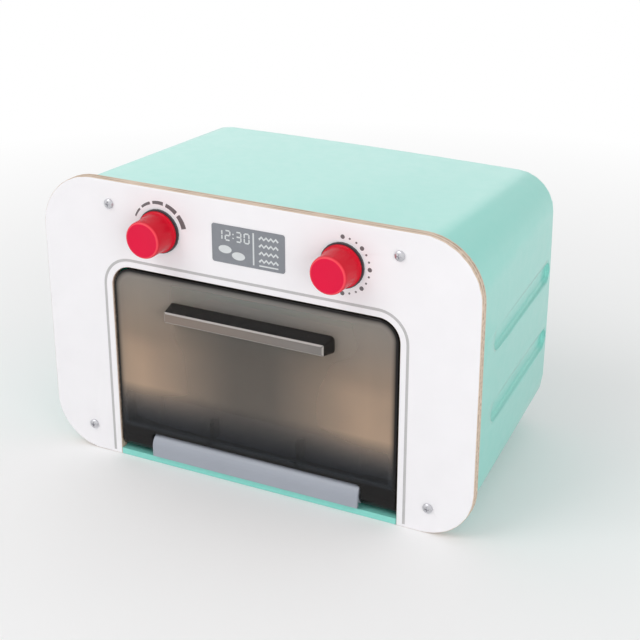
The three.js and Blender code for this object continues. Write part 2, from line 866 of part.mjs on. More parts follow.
function ovenFloor() {
  const sideAt = (y) => innerHalfAt(y, floorHeight) - fit;
  const outside = () => boardHalf;
  const back = innerBack - fit;
  const riserBottom = hingeHeight + lipRadius - lipWall;
  const form = pushed('z', floorPlan(0, back, sideAt), lipLift, floorHeight);
  const underPlan = floorPlan(floorThickness, back + overrun, outside);
  const under = pushed('z', underPlan, lipLift - overrun, floorUnder);
  const middle = block([-notchHalf, notchHalf], [0, riserBack + overrun], [lipLift - overrun, riserBottom]);
  let body = joined(form.subtract(under).subtract(middle), lip());
  const returnEnd = notchHalf + riserReturn;
  for (const side of [-1, 1]) {
    const span = [side * returnEnd, side * boardWidth].sort((a, b) => a - b);
    const beside = [0, returnFace + riserCornerRadius];
    body = body.subtract(block(span, beside, [lipLift - overrun, floorUnder]));
    body = body.subtract(staySlot(side));
    body = body.subtract(leadNotch(side, floorUnder, floorHeight));
    const bossEnds = [side * lipHalf, side * (lipHalf - lipBossLength)].sort((a, b) => a - b);
    const at = [0, hingeDepth, hingeHeight];
    body = body.add(rod('x', lipBossRadius, at, ...bossEnds));
    const boreEnds = [side * pinStart, side * (lipHalf + overrun)].sort((a, b) => a - b);
    body = body.subtract(rod('x', hingePinRadius + fit, at, ...boreEnds));
  }
  for (const [x, y] of floorScrewPlaces()) {
    const padTop = housingLift + floorPadHeight;
    const end = housingLift + smallScrewLength + smallScrewHeadHeight + overrun;
    const at = [x, y, 0];
    body = body.add(rod('z', floorBossRadius, at, padTop, floorHeight - floorThickness / 2));
    body = body.subtract(rod('z', smallScrewRadius + screwGap, at, 0, end));
  }
  return body;
}

// Notch at the front corner that lets the battery's leads pass up
function leadNotch(side, bottom, top) {
  const centre = side * (boardHalf - leadNotchInset - leadNotchWidth / 2);
  const across = [centre - leadNotchWidth / 2, centre + leadNotchWidth / 2];
  return block(across, [0, housingFront + leadNotchDepth], [bottom - overrun, top + overrun]);
}

// Plate over the oven's space
function ovenCeiling() {
  const back = innerBack - fit;
  const sideAt = (y) => innerHalfAt(y, ceilingTop) - fit;
  const right = [[sideAt(ceilingFront), ceilingFront], ...backCorner(sideAt, back)];
  const left = right.map(([x, y]) => [-x, y]).reverse();
  const outline = polygon([...right, ...left]);
  const slotHalf = lensWidth / 2 + fit;
  const slot = block([-slotHalf, slotHalf], [lensFront - fit, lensFront + lensThickness + fit],
    [ceilingHeight - overrun, ceilingTop + overrun]);
  let body = pushed('z', outline, ceilingHeight, ceilingTop).subtract(slot);
  for (const [x, y] of ceilingScrewPlaces()) {
    const at = [x, y, 0];
    const ends = [ceilingHeight - overrun, ceilingTop + overrun];
    body = body.subtract(rod('z', smallScrewRadius + screwGap, at, ...ends));
  }
  for (const side of [-1, 1]) body = body.subtract(leadNotch(side, ceilingHeight, ceilingTop));
  return body;
}

// Door with its rim, feet and stays in one moulding
function doorPane(inset) {
  const shape = new THREE.Shape();
  const radius = mouthRadius - doorGap - inset;
  const half = doorHalf - inset;
  const top = doorTop - inset;
  const bottom = notchTop + inset;
  shape.moveTo(-half, bottom);
  shape.lineTo(half, bottom);
  shape.absarc(half - radius, top - radius, radius, 0, Math.PI / 2);
  shape.absarc(-half + radius, top - radius, radius, Math.PI / 2, Math.PI);
  return shape;
}

function doorFoot(side) {
  const profile = polygon([
    [doorSetback, notchTop + doorRim],
    ...arcPoints(hingeDepth, hingeHeight, hingeBarrelRadius, Math.PI, 2 * Math.PI, 12),
    [doorBack, notchTop],
    [doorBack, notchTop + doorRim],
  ]);
  const ends = [side * notchHalf, side * doorHalf].sort((a, b) => a - b);
  return pushed('x', profile, ...ends);
}

function doorNotchFillet(side) {
  const start = side > 0 ? 0 : Math.PI;
  const across = side * (notchHalf - doorNotchRadius);
  const corner = polygon([
    [side * notchHalf, notchTop],
    ...arcPoints(across, notchTop - doorNotchRadius, doorNotchRadius, start, Math.PI / 2, 4),
  ]);
  return pushed('y', corner, doorSetback, doorInside);
}

function door() {
  const pane = pushed('y', doorPane(0), doorSetback, doorInside);
  const ring = pushed('y', doorPane(0), doorInside - doorRim / 2, doorBack)
    .subtract(pushed('y', doorPane(doorRim), doorInside - doorRim, doorBack + overrun));
  const notchRim = block([-notchHalf, notchHalf], [doorSetback + notchRimDepth, doorBack + overrun],
    [notchTop - overrun, notchTop + doorRim + overrun]);
  let body = joined(pane, ring.subtract(notchRim));
  for (const side of [-1, 1]) {
    body = joined(body, doorFoot(side), doorNotchFillet(side), stays(side));
    const ends = [side * (notchHalf - overrun), side * pinEnd].sort((a, b) => a - b);
    body = body.subtract(rod('x', hingePinRadius + fit, [0, hingeDepth, hingeHeight], ...ends));
  }
  return body;
}

function hingePin(side) {
  const ends = [side * (pinStart + fit), side * (pinEnd - fit)].sort((a, b) => a - b);
  return rod('x', hingePinRadius, [0, hingeDepth, hingeHeight], ...ends);
}

// Handle across the top of the door
function handleLoop(y, inset) {
  const middle = doorTop - handleDrop - handleHeight / 2 - handleDraft / 2;
  const half = doorHalf - handleInset - inset;
  const halfHeight = handleHeight / 2 - inset;
  const radius = Math.max(handleRadius - inset, handleRadius / 4);
  const quarter = Math.PI / 2;
  const points = [
    ...arcPoints(half - radius, middle - halfHeight + radius, radius, -quarter, 0, 3),
    ...arcPoints(half - radius, middle + halfHeight - radius, radius, 0, quarter, 3),
    ...arcPoints(-half + radius, middle + halfHeight - radius, radius, quarter, 2 * quarter, 3),
    ...arcPoints(-half + radius, middle - halfHeight + radius, radius, 2 * quarter, 3 * quarter, 3),
  ];
  return { y, points };
}

function doorHandle() {
  const front = doorSetback - handleReach;
  const outer = lofted([
    handleLoop(front, handleDraft + handleEdge),
    handleLoop(front + handleEdge, handleDraft),
    handleLoop(doorSetback, 0),
  ]);
  const hollow = lofted([
    handleLoop(front + handleWall, handleDraft + handleWall),
    handleLoop(doorSetback + overrun, handleWall),
  ]);
  return outer.subtract(hollow);
}

// Knobs, their washers, shafts and switches
function knobWasher(x) {
  const profile = [
    [shaftRadius + fit, -washerThickness],
    [washerRadius, -washerThickness],
    [washerRadius, 0],
    [bushRadius, 0],
    [bushRadius, boardThickness],
    [shaftRadius + fit, boardThickness],
    [shaftRadius + fit, -washerThickness],
  ];
  return turned('y', profile, [x, 0, knobHeight], 28);
}

function shaftSection(grow) {
  const radius = shaftRadius + grow;
  const flat = shaftRadius - shaftFlatDepth + grow;
  const turn = Math.acos(flat / radius);
  return polygon(arcPoints(0, 0, radius, Math.PI / 2 + turn, Math.PI * 5 / 2 - turn, 14));
}

function knobBack() {
  return -washerThickness - fit;
}

function flatShaft(x, grow, from, to) {
  const shape = shaftSection(grow);
  const geometry = new THREE.ExtrudeGeometry(shape, { depth: to - from, bevelEnabled: false });
  geometry.applyMatrix4(drawingPlanes.y);
  geometry.translate(x, to, knobHeight);
  return solid(geometry);
}

function knob(x) {
  const back = knobBack();
  const front = back - knobLength;
  const floor = front + knobWall;
  const outer = turned('y', [
    [0, front],
    [knobFrontRadius - knobEdge, front],
    [knobFrontRadius, front + knobEdge],
    [knobBackRadius, back],
    [0, back],
  ], [x, 0, knobHeight], 32);
  const hollow = turned('y', [
    [knobBossRadius, floor],
    [knobFrontRadius - knobWall, floor],
    [knobBackRadius - knobWall, back + overrun],
    [knobBossRadius, back + overrun],
    [knobBossRadius, floor],
  ], [x, 0, knobHeight], 20);
  return without(outer, hollow, flatShaft(x, fit, back - shaftEngagement - fit, back + overrun));
}

function knobShaft(x) {
  const front = knobBack() - shaftEngagement;
  const back = circuitFront - switchEndWall - fit;
  const tail = rod('y', shaftRadius, [x, 0, knobHeight], knobBack(), back, 16);
  return joined(flatShaft(x, 0, front, knobBack()), tail);
}

function rotarySwitch(x) {
  const half = switchSize / 2;
  const up = [knobHeight - half, knobHeight + half];
  const body = block([x - half, x + half], [switchFront, circuitFront], up);
  const ends = [switchFront - overrun, circuitFront - switchEndWall];
  return body.subtract(rod('y', shaftRadius + fit, [x, 0, knobHeight], ...ends, 16));
}

// Circuit board with its chip, capacitor and plugs
function circuitBoard() {
  const half = circuitHalf;
  const plate = block([-half, half], [circuitFront, circuitBack], [circuitBottom, circuitTop]);
  const middle = (circuitBottom + circuitTop) / 2;
  const root = circuitBack - circuitThickness / 2;
  const chip = rod('y', chipRadius, [0, 0, middle], root, circuitBack + chipThickness, 20);
  const plugUp = [middle - plugHeight / 2, middle + plugHeight / 2];
  const plug = block([half - plugWidth, half], [root, circuitBack + plugDepth], plugUp);
  const capacitorPlace = [-half / 2, 0, middle];
  const capacitor = rod('y', capacitorRadius, capacitorPlace, root, circuitBack + capacitorLength);
  let body = joined(plate, chip, plug, capacitor);
  for (const [x, z] of circuitScrewPlaces()) {
    const ends = [circuitFront - overrun, circuitBack + overrun];
    body = body.subtract(rod('y', smallScrewRadius + screwGap, [x, 0, z], ...ends));
  }
  return body;
}

function displayLabel() {
  const half = labelHeight / 2;
  const ends = [labelCentreHeight - half, labelCentreHeight + half];
  const outline = roundedBox(labelWidth / 2, ...ends, labelRadius);
  return pushed('y', outline, -labelThickness, 0);
}

// Lens that hangs through the ceiling, and the lamp in its pocket
function lampLens() {
  const half = lensWidth / 2;
  const bottom = ceilingHeight - lensDrop;
  const shape = new THREE.Shape();
  shape.moveTo(-half, ceilingTop);
  shape.lineTo(-half, bottom + lensRadius);
  shape.absarc(-half + lensRadius, bottom + lensRadius, lensRadius, Math.PI, Math.PI * 3 / 2);
  shape.absarc(half - lensRadius, bottom + lensRadius, lensRadius, -Math.PI / 2, 0);
  shape.lineTo(half, ceilingTop);
  const tab = pushed('y', shape, lensFront, lensFront + lensThickness);
  const flangeHalf = lensFlangeWidth / 2;
  const flange = block([-flangeHalf, flangeHalf],
    [lensMiddle - lensFlangeDepth / 2, lensMiddle + lensFlangeDepth / 2], [ceilingTop, lensTop]);
  const pocketEnds = [lensTop - lampLength - fit, lensTop + overrun];
  const pocket = rod('z', lampRadius + fit, [0, lensMiddle, 0], ...pocketEnds);
  return joined(tab, flange).subtract(pocket);
}

function lamp() {
  const tip = lensTop - lampLength;
  const flangeTop = lensTop + lampFlangeThickness;
  const dome = arcPoints(0, tip + lampRadius, lampRadius, -Math.PI / 2, 0, 4);
  const body = turned('z', [
    [0, tip],
    ...dome.slice(1),
    [lampRadius, lensTop],
    [lampFlangeRadius, lensTop],
    [lampFlangeRadius, flangeTop],
    [0, flangeTop],
  ], [0, lensMiddle, 0], 12);
  const legs = [];
  for (const side of [-1, 1]) {
    const x = side * lampLegSpacing / 2;
    const bend = flangeTop + lampLegRise;
    legs.push(rod('z', lampLegRadius, [x, lensMiddle, 0], flangeTop - lampLegRadius, bend, 6));
    legs.push(rod('y', lampLegRadius, [x, 0, bend], lensMiddle - lampLegRadius, circuitFront, 6));
  }
  return joined(body, ...legs);
}

// Speaker behind the grille
function speaker() {
  const back = innerBack;
  const front = back - speakerDepth;
  const cup = speakerRadius - speakerFlange;
  const magnetTop = front + magnetThickness;
  return turned('y', [
    [0, front],
    [magnetRadius, front],
    [magnetRadius, magnetTop],
    [cup, back - speakerFlangeThickness],
    [speakerRadius, back - speakerFlangeThickness],
    [speakerRadius, back],
    [cup, back],
    [cup, back - speakerFlangeThickness + coneThickness],
    [magnetRadius - speakerFlange, magnetTop + coneThickness],
    [0, magnetTop + coneThickness],
  ], [0, 0, speakerHeight], 24);
}

function speakerCone() {
  const cup = speakerRadius - speakerFlange;
  const outer = cup - fit;
  const rim = innerBack - speakerFlangeThickness + 2 * coneThickness + fit;
  const bottom = innerBack - speakerDepth + magnetThickness + 2 * coneThickness + fit;
  return turned('y', [
    [0, bottom + coneDomeHeight],
    [coneInnerRadius, bottom],
    [outer, rim],
    [outer, rim + coneThickness],
    [coneInnerRadius, bottom + 2 * coneThickness],
    [0, bottom + coneDomeHeight + 2 * coneThickness],
  ], [0, 0, speakerHeight], 24);
}

// Battery box, cells, springs and contact plates
function batteryBox() {
  const half = bayHalf + bayWall;
  const halfHeight = bayHalfHeight + bayWall;
  const outerUp = [bayCentre - halfHeight, bayCentre + halfHeight];
  const innerUp = [bayCentre - bayHalfHeight, bayCentre + bayHalfHeight];
  const outer = block([-half, half], [bayFront - bayWall, padInside], outerUp);
  const inner = block([-bayHalf, bayHalf], [bayFront, padInside + overrun], innerUp);
  let body = outer.subtract(inner);
  for (const up of [-1, 1]) {
    const z = bayCentre + up * cellPitch / 2;
    const slot = block([bayHalf - overrun, half + overrun],
      [cellCentre - tabDepth / 2 - fit, cellCentre + tabDepth / 2 + fit],
      [z - tabHeight / 2 - fit, z + tabHeight / 2 + fit]);
    body = body.subtract(slot);
  }
  return body;
}

// The upper cell points to the right and the lower one to the left
function battery(up) {
  const tip = bayHalf - contactThickness - fit;
  const base = tip - cellLength;
  const shoulder = tip - cellNubLength;
  const profile = [
    [0, base],
    [cellRadius - cellEdge, base],
    [cellRadius, base + cellEdge],
    [cellRadius, shoulder - cellEdge],
    [cellRadius - cellEdge, shoulder],
    [cellNubRadius, shoulder],
    [cellNubRadius, tip],
    [0, tip],
  ].map(([radius, along]) => [radius, along * up]);
  return turned('x', profile, [0, cellCentre, bayCentre + up * cellPitch / 2], 18);
}

class Coil extends THREE.Curve {
  constructor(start, length) {
    super();
    this.start = start;
    this.length = length;
  }

  getPoint(share) {
    const angle = 2 * Math.PI * springTurns * share;
    const radius = THREE.MathUtils.lerp(springBackRadius, springFrontRadius, share);
    return new THREE.Vector3(
      this.start + this.length * share, radius * Math.sin(angle), radius * Math.cos(angle));
  }
}

function wireSection(radius, sides) {
  return polygon(arcPoints(0, 0, radius, 0, 2 * Math.PI * (sides - 1) / sides, sides - 1));
}

function springCoil() {
  const start = -bayHalf + contactThickness + fit + springWireRadius;
  return new Coil(start, springLength - 2 * (fit + springWireRadius));
}

// Least gap between one turn of the wire and the next, measured on points along it
function springGap() {
  const points = springCoil().getPoints(springSteps * springTurns);
  let least = Infinity;
  points.forEach((point, place) => {
    const beyond = points.slice(place + springSteps / 2);
    for (const other of beyond) least = Math.min(least, point.distanceTo(other));
  });
  return least - 2 * springWireRadius;
}

function batterySpring(up) {
  const coil = springCoil();
  const course = { steps: springSteps * springTurns, extrudePath: coil };
  const geometry = new THREE.ExtrudeGeometry(wireSection(springWireRadius, 5), course);
  geometry.scale(up, 1, 1);
  geometry.translate(0, cellCentre, bayCentre + up * cellPitch / 2);
  return solid(geometry);
}

function contactSpans(up) {
  const z = bayCentre + up * cellPitch / 2;
  return {
    y: [cellCentre - contactDepth / 2, cellCentre + contactDepth / 2],
    z: [z - contactHeight / 2, z + contactHeight / 2],
  };
}

function batteryBridge() {
  const low = contactSpans(-1);
  const high = contactSpans(1);
  return block([-bayHalf, -bayHalf + contactThickness], low.y, [low.z[0], high.z[1]]);
}

function batteryTerminal(up) {
  const spans = contactSpans(up);
  const z = bayCentre + up * cellPitch / 2;
  const plate = block([bayHalf - contactThickness, bayHalf], spans.y, spans.z);
  const tab = block([bayHalf - contactThickness, bayHalf + bayWall + tabReach],
    [cellCentre - tabDepth / 2, cellCentre + tabDepth / 2], [z - tabHeight / 2, z + tabHeight / 2]);
  return joined(plate, tab);
}

function batteryCover() {
  const plateUp = [bayCentre - coverHalfHeight, bayCentre + coverHalfHeight];
  const plateShape = roundedBox(coverHalf, ...plateUp, coverRadius);
  const plate = pushed('y', plateShape, recessFloor, recessFloor + coverThickness);
  const rimHalf = bayHalf - fit;
  const rimHalfHeight = bayHalfHeight - fit;
  const rimInner = rimHalf - coverRimThickness;
  const rimInnerHeight = rimHalfHeight - coverRimThickness;
  const rimFront = recessFloor - coverRimDepth;
  const rim = block([-rimHalf, rimHalf], [rimFront, recessFloor + coverThickness / 2],
    [bayCentre - rimHalfHeight, bayCentre + rimHalfHeight]);
  const rimHollow = block([-rimInner, rimInner], [rimFront - overrun, recessFloor],
    [bayCentre - rimInnerHeight, bayCentre + rimInnerHeight]);
  let body = joined(plate, rim.subtract(rimHollow));
  for (const side of [-1, 1]) {
    const at = [side * coverScrewPlace, 0, bayCentre];
    const ends = [recessFloor - overrun, housingBack];
    body = body.subtract(rod('y', smallScrewRadius + screwGap, at, ...ends));
  }
  return body;
}

// Leads between the battery box, the circuit board and the speaker
function lead(points) {
  const places = points.map((point) => new THREE.Vector3(...point));
  const path = new THREE.CatmullRomCurve3(places, false, 'centripetal');
  const course = { steps: 3 * (points.length - 1), extrudePath: path };
  return solid(new THREE.ExtrudeGeometry(wireSection(leadRadius, 5), course));
}

function batteryLead(up) {
  const middle = (circuitBottom + circuitTop) / 2;
  const offset = up * leadSpacing / 2;
  const start = bayHalf + bayWall + tabReach + fit;
  const low = bayCentre + up * cellPitch / 2;
  const across = leadRoute - leadSpacing + offset;
  const deep = housingFront + leadRouteSetback;
  const underway = (housingFront + housingBack) / 2;
  return lead([
    [start, cellCentre, low],
    [(start + across) / 2, cellCentre - bayDepth, low + offset],
    [across - leadSpacing, underway, (low + floorUnder) / 2],
    [across, deep + riserCornerRadius, (low + floorUnder) / 2],
    [across, deep, floorHeight],
    [across, deep, (floorHeight + ceilingHeight) / 2],
    [across, deep, ceilingTop],
    [across - leadNotchWidth / 2, deep + leadSpacing, middle + offset],
    [circuitHalf + fit, circuitBack + plugDepth / 2, middle + offset],
  ]);
}

function speakerLead(side) {
  const x = side * leadSpacing / 2;
  const start = innerBack - speakerDepth - fit;
  const end = circuitBack + chipThickness + fit;
  const middle = (circuitBottom + circuitTop) / 2;
  return lead([
    [x, start, speakerHeight],
    [x + side * leadSpacing, start - speakerDepth, (speakerHeight + ceilingTop) / 2],
    [x + side * leadSpacing, (start + end) / 2, ceilingTop + leadSpacing],
    [x + side * leadSpacing, end + speakerDepth, (middle + ceilingTop) / 2],
    [x, end, middle],
  ]);
}

// Everything in one group, with the middle of its underside at the origin
const pieces = [
  ['front_board', frontBoard(), colours.board],
  ['housing', housing(), colours.mint],
  ['oven_floor', ovenFloor(), colours.grey],
  ['cavity_ceiling', ovenCeiling(), colours.mint],
  ['door', door(), colours.smoke],
  ['door_handle', doorHandle(), colours.smoke],
  ['display_label', displayLabel(), colours.label],
  ['lamp_lens', lampLens(), colours.cream],
  ['lamp', lamp(), colours.cream],
  ['circuit_board', circuitBoard(), colours.circuit],
  ['speaker', speaker(), colours.steel],
  ['speaker_cone', speakerCone(), colours.paper],
  ['battery_box', batteryBox(), colours.mint],
  ['battery_cover', batteryCover(), colours.mint],
  ['battery_bridge', batteryBridge(), colours.steel],
];

['left', 'right'].forEach((name, place) => {
  const side = place === 0 ? -1 : 1;
  const x = knobAxes[place];
  const [screwX, screwZ] = circuitScrewPlaces()[place];
  const [ceilingX, ceilingY] = ceilingScrewPlaces()[place];
  const [floorX, floorY] = floorScrewPlaces()[place];
  const [footX, footY] = footPlaces()[place];
  const floorSeat = housingLift + smallScrewHeadHeight + fit;
  const coverSeat = recessFloor + coverThickness;
  const circuitPlace = [screwX, 0, screwZ];
  const ceilingPlace = [ceilingX, ceilingY, 0];
  const floorPlace = [floorX, floorY, 0];
  const coverPlace = [side * coverScrewPlace, 0, bayCentre];
  const foot = rod('z', footRadius, [footX, footY, 0], 0, housingLift + footRecess, 20);
  pieces.push(
    [`${name}_knob`, knob(x), colours.red],
    [`${name}_knob_washer`, knobWasher(x), colours.dark],
    [`${name}_knob_shaft`, knobShaft(x), colours.cream],
    [`${name}_rotary_switch`, rotarySwitch(x), colours.black],
    [`${name}_hinge_pin`, hingePin(side), colours.steel],
    [`${name}_circuit_screw`, screw('y', circuitPlace, circuitFront, 1, smallScrew), colours.steel],
    [`${name}_ceiling_screw`, screw('z', ceilingPlace, ceilingHeight, 1, smallScrew), colours.steel],
    [`${name}_floor_screw`, screw('z', floorPlace, floorSeat, 1, smallScrew), colours.steel],
    [`${name}_cover_screw`, screw('y', coverPlace, coverSeat, -1, coverScrew), colours.steel],
    [`${name}_rear_foot`, foot, colours.rubber],
  );
});

for (const [name, up] of [['lower', -1], ['upper', 1]]) {
  pieces.push(
    [`battery_${name}`, battery(up), colours.cell],
    [`battery_spring_${name}`, batterySpring(up), colours.steel],
    [`battery_terminal_${name}`, batteryTerminal(up), colours.steel],
    [`battery_lead_${name}`, batteryLead(up), up > 0 ? colours.leadRed : colours.leadBlack],
    [`speaker_lead_${name}`, speakerLead(up), up > 0 ? colours.leadRed : colours.leadBlack],
  );
}

for (const { name, x, z } of boardScrewPlaces()) {
  pieces.push([name, screw('y', [x, 0, z], 0, 1, boardScrew), colours.steel]);
}

const group = new THREE.Group();
const knobFace = knobBack() - knobLength;
const middleDepth = (knobFace + housingBack) / 2;
for (const [name, body, colour] of pieces) {
  const geometry = drawn(body);
  geometry.translate(0, -middleDepth, 0);
  const mesh = new THREE.Mesh(geometry, new THREE.MeshStandardMaterial(colour));
  mesh.name = name;
  group.add(mesh);
}

console.log(`Least gap between the turns of a battery spring: ${springGap().toFixed(2)} mm`);

export default group;
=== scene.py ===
import json
import math

import bmesh
import bpy
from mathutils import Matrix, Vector


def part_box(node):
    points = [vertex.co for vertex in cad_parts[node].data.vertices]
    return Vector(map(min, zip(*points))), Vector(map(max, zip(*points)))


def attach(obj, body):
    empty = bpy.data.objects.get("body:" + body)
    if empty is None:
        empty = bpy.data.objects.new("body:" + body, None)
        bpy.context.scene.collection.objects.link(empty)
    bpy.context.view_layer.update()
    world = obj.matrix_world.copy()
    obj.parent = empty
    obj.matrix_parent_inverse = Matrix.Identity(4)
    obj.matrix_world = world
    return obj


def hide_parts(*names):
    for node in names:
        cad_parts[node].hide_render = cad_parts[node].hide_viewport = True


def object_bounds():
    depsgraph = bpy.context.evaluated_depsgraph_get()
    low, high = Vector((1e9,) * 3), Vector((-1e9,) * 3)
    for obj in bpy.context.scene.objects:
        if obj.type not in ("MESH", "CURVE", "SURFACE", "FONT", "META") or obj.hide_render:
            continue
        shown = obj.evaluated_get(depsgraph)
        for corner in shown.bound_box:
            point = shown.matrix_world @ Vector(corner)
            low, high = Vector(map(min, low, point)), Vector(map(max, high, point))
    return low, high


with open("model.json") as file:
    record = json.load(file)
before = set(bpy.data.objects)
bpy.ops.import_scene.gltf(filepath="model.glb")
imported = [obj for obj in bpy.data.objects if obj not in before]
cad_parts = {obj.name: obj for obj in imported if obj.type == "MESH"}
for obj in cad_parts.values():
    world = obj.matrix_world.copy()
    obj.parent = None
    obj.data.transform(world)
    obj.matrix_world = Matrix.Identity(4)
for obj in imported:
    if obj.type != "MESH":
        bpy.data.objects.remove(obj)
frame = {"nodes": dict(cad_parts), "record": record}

# One millimetre in metres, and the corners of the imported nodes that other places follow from
MM = 0.001
cad_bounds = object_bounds()
board_low, board_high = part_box("front_board")
door_low, door_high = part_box("door")
label_low, label_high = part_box("display_label")
housing_low, housing_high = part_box("housing")
knob_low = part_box("left_knob")[0]

# The shell's form, which tells its inside from its outside
SIDE_DRAFT = 12 * MM
SIDE_CROWN = 1 * MM
WALL_REACH = 2.4 * MM
BACK_WALL = 2.4 * MM
JOINT_LINE = 0.2 * MM
BACK_LEAN_SHARE = 0.8

# The board's plies, how squarely its painted face looks forward, and the roughness of both
PLY_PAIRS = 2.5
PLY_BLUR = 0.35
PAINTED_SLOPE = 0.6
WOOD_ROUGHNESS = 0.78
PAINT_ROUGHNESS = 0.36
BOARD_STRAY = 0.03

# The door's outline, its dark rim and feet, and its stays
DOOR_CORNER = 11.7 * MM
RIM_BAND = 4.8 * MM
RIM_CORE = 0.8 * MM
FOOT_TOP = 20.2 * MM
STAY_ACROSS = 28 * MM
STAY_HALF = 1.4 * MM
PANE_THICKNESS = 3 * MM

# Painted light on the pane: a painted reflection towards its sides, painted shade at its foot and a
# painted gleam at its top
REFLECTION_START = 12 * MM
REFLECTION_END = 72 * MM
REFLECTION_HEIGHT = 62 * MM
SHADE_LOW = 25 * MM
SHADE_HIGH = 50 * MM
GLEAM_REACH = 38 * MM

# How much light each part of the smoked plastic lets through, and how it shines
PANE_CLEAR = 0.82
PANE_CLEAR_UNDER_REFLECTION = 0.46
PANE_LOW_CLEAR = 0.96
PANE_HIGH_CLEAR = 0.74
RIM_CLEAR = 0.3
HANDLE_CLEAR = 0.35
PANE_BENDING = 1.33
HANDLE_BENDING = 1.5
DOOR_GLOSS = 0.18

# The handle's half width, and how squarely its front, top and bevelled edges look forward
HANDLE_HALF = 50 * MM
FRONT_SLOPE = 0.95
TOP_SLOPE = 0.5
EDGE_SLOPE = 0.72
EDGE_SLOPE_CORE = 0.05
EDGE_SLOPE_BLUR = 0.2

# Screws: which way they face, their head heights, and the form of the head and its cross
TO_FRONT = (0, -1, 0)
TO_BACK = (0, 1, 0)
TO_BELOW = (0, 0, -1)
BOARD_HEAD = 1.8 * MM
COVER_HEAD = 1.1 * MM
SMALL_HEAD = 1.4 * MM
CROSS_ARMS = 4
CROSS_ARM_SHARE = 0.6
CROSS_WIDTH_SHARE = 0.13
CROSS_TAPER_SHARE = 0.7
HEAD_EDGE_SHARE = 0.35
SHANK_SHARE = 0.5
DOME_STEPS = 6
SCREW_SIDES = 36

# Knobs: their form, and how squarely their side, edge and face look forward
KNOB_WAIST_SHARE = 0.9
KNOB_FRONT_SHARE = 0.883
KNOB_EDGE = 1.5 * MM
KNOB_BACK_EDGE = 0.3 * MM
KNOB_FLANGE = 1.4 * MM
KNOB_FLARE = 3.2 * MM
KNOB_DISH = 0.6 * MM
KNOB_PALE_REACH = 4 * MM
KNOB_EDGE_STEPS = 6
KNOB_SIDES = 96
KNOB_SHARP_DEGREES = 40
KNOB_SIDE_SLOPE = 0.2
KNOB_EDGE_SLOPE = 0.75
KNOB_TURN_SLOPE = 0.93
KNOB_FACE_SLOPE = 0.99

# Prints: how far they stand out and reach in
PRINT_PROUD = 0.06 * MM
PRINT_SUNK = 0.02 * MM
DISPLAY_PROUD = 0.05 * MM

# Line round the oven's mouth
DOOR_GAP = 1.3 * MM
LINE_MARGIN = 4.5 * MM
LINE_RADIUS = 17.5 * MM
LINE_FOOT = 2 * MM
LINE_WIDTH = 1.6 * MM
LINE_STEPS = 14

# Dashes round the left dial, which grow longer and thicker clockwise
DASH_ENDS_DEGREES = (-70, -44, -16, 14, 46, 80)
DASH_GAP_DEGREES = 3
DASH_RADIUS = 16.5 * MM
DASH_START_WIDTH = 0.9 * MM
DASH_START_GROWTH = 0.42 * MM
DASH_END_WIDTH = 1.2 * MM
DASH_END_GROWTH = 0.47 * MM
DASH_STEPS = 6

# Dots round the right dial, every third one large
DOT_COUNT = 13
DOT_SWEEP_DEGREES = 180
DOT_RING = 15.8 * MM
LARGE_DOT = 1.25 * MM
SMALL_DOT = 0.6 * MM
LARGE_DOT_EVERY = 3
DOT_SIDES = 14

# Clock figures on the display, drawn with seven bars
FIGURES = "1230"
FIGURE_BARS = {"0": "abcdef", "1": "bc", "2": "abged", "3": "abgcd"}
FIGURE_WIDTH = 2.9 * MM
FIGURE_HEIGHT = 5.4 * MM
FIGURE_STROKE = 0.8 * MM
FIGURE_STEP = 5 * MM
FIGURE_LEFT = 17.5 * MM
FIGURE_RISE = 5.2 * MM
BAR_LENGTH_SHARE = 0.82
COLON_SPACE = 1.8 * MM
COLON_ACROSS = 8.4 * MM
COLON_RISES = (4.1 * MM, 6.3 * MM)
COLON_DOT = 0.45 * MM
COLON_SIDES = 10

# The display's ovals, divider, zigzag rows and bar, from its middle
OVAL_PLACES = ((-14.3 * MM, -3 * MM), (-6 * MM, -5.8 * MM))
OVAL_HALF_WIDTH = 4.1 * MM
OVAL_HALF_HEIGHT = 2.3 * MM
OVAL_SIDES = 28
DIVIDER_ACROSS = 3.4 * MM
DIVIDER_WIDTH = 0.9 * MM
DIVIDER_HEIGHT = 18.4 * MM
ZIGZAG_ROWS = 4
ZIGZAG_POINTS = 9
ZIGZAG_LEFT = 6.9 * MM
ZIGZAG_TOP = 6.9 * MM
ZIGZAG_STEP = 1.45 * MM
ZIGZAG_PITCH = 4.3 * MM
ZIGZAG_SWING = 0.75 * MM
ZIGZAG_WIDTH = 1.15 * MM
BAR_ACROSS = 12.7 * MM
BAR_DROP = 8.9 * MM
BAR_WIDTH = 11.6 * MM
BAR_HEIGHT = 0.8 * MM

# Mesh finish
MERGE_REACH = 0.01 * MM
SHARP_DEGREES = 32
NORMAL_WEIGHT = 60

# The photograph's point of view
CAMERA_PLACE = (0.3764, -0.71995, 0.4331)
CAMERA_AIM = (0.008, 0.0, -0.006)
CAMERA_SENSOR = 36
CAMERA_LENS = 84
CAMERA_NEAR = 0.01

# Studio: floor, where it turns white from the middle of the object, and lights in metres and watts
FLOOR_HALF = 6
FLOOR_ROUGHNESS = 0.75
WHITE_FROM = 0.02
WHITE_AT = 0.7
ROOM_LIGHT = 0.56
SEEN_LIGHT = 1
LIGHT_AIM = (0, 0, 0.08)
KEY_PLACE = (-0.55, -0.9, 1.2)
KEY_SIZE = 0.9
KEY_POWER = 7.0
SIDE_PLACE = (1.25, -1.1, 0.5)
SIDE_SIZE = 1.0
SIDE_POWER = 8.2
BACK_PLACE = (-0.68, 1.3, 0.8)
BACK_SIZE = 1.2
BACK_POWER = 1.8

# Depth of the fine texture that the light catches
SMOOTH_DEPTH = 0.01 * MM
SATIN_DEPTH = 0.02 * MM
MOULD_DEPTH = 0.03 * MM
PAINT_DEPTH = 0.05 * MM
RUBBER_DEPTH = 0.06 * MM
PAPER_DEPTH = 0.1 * MM

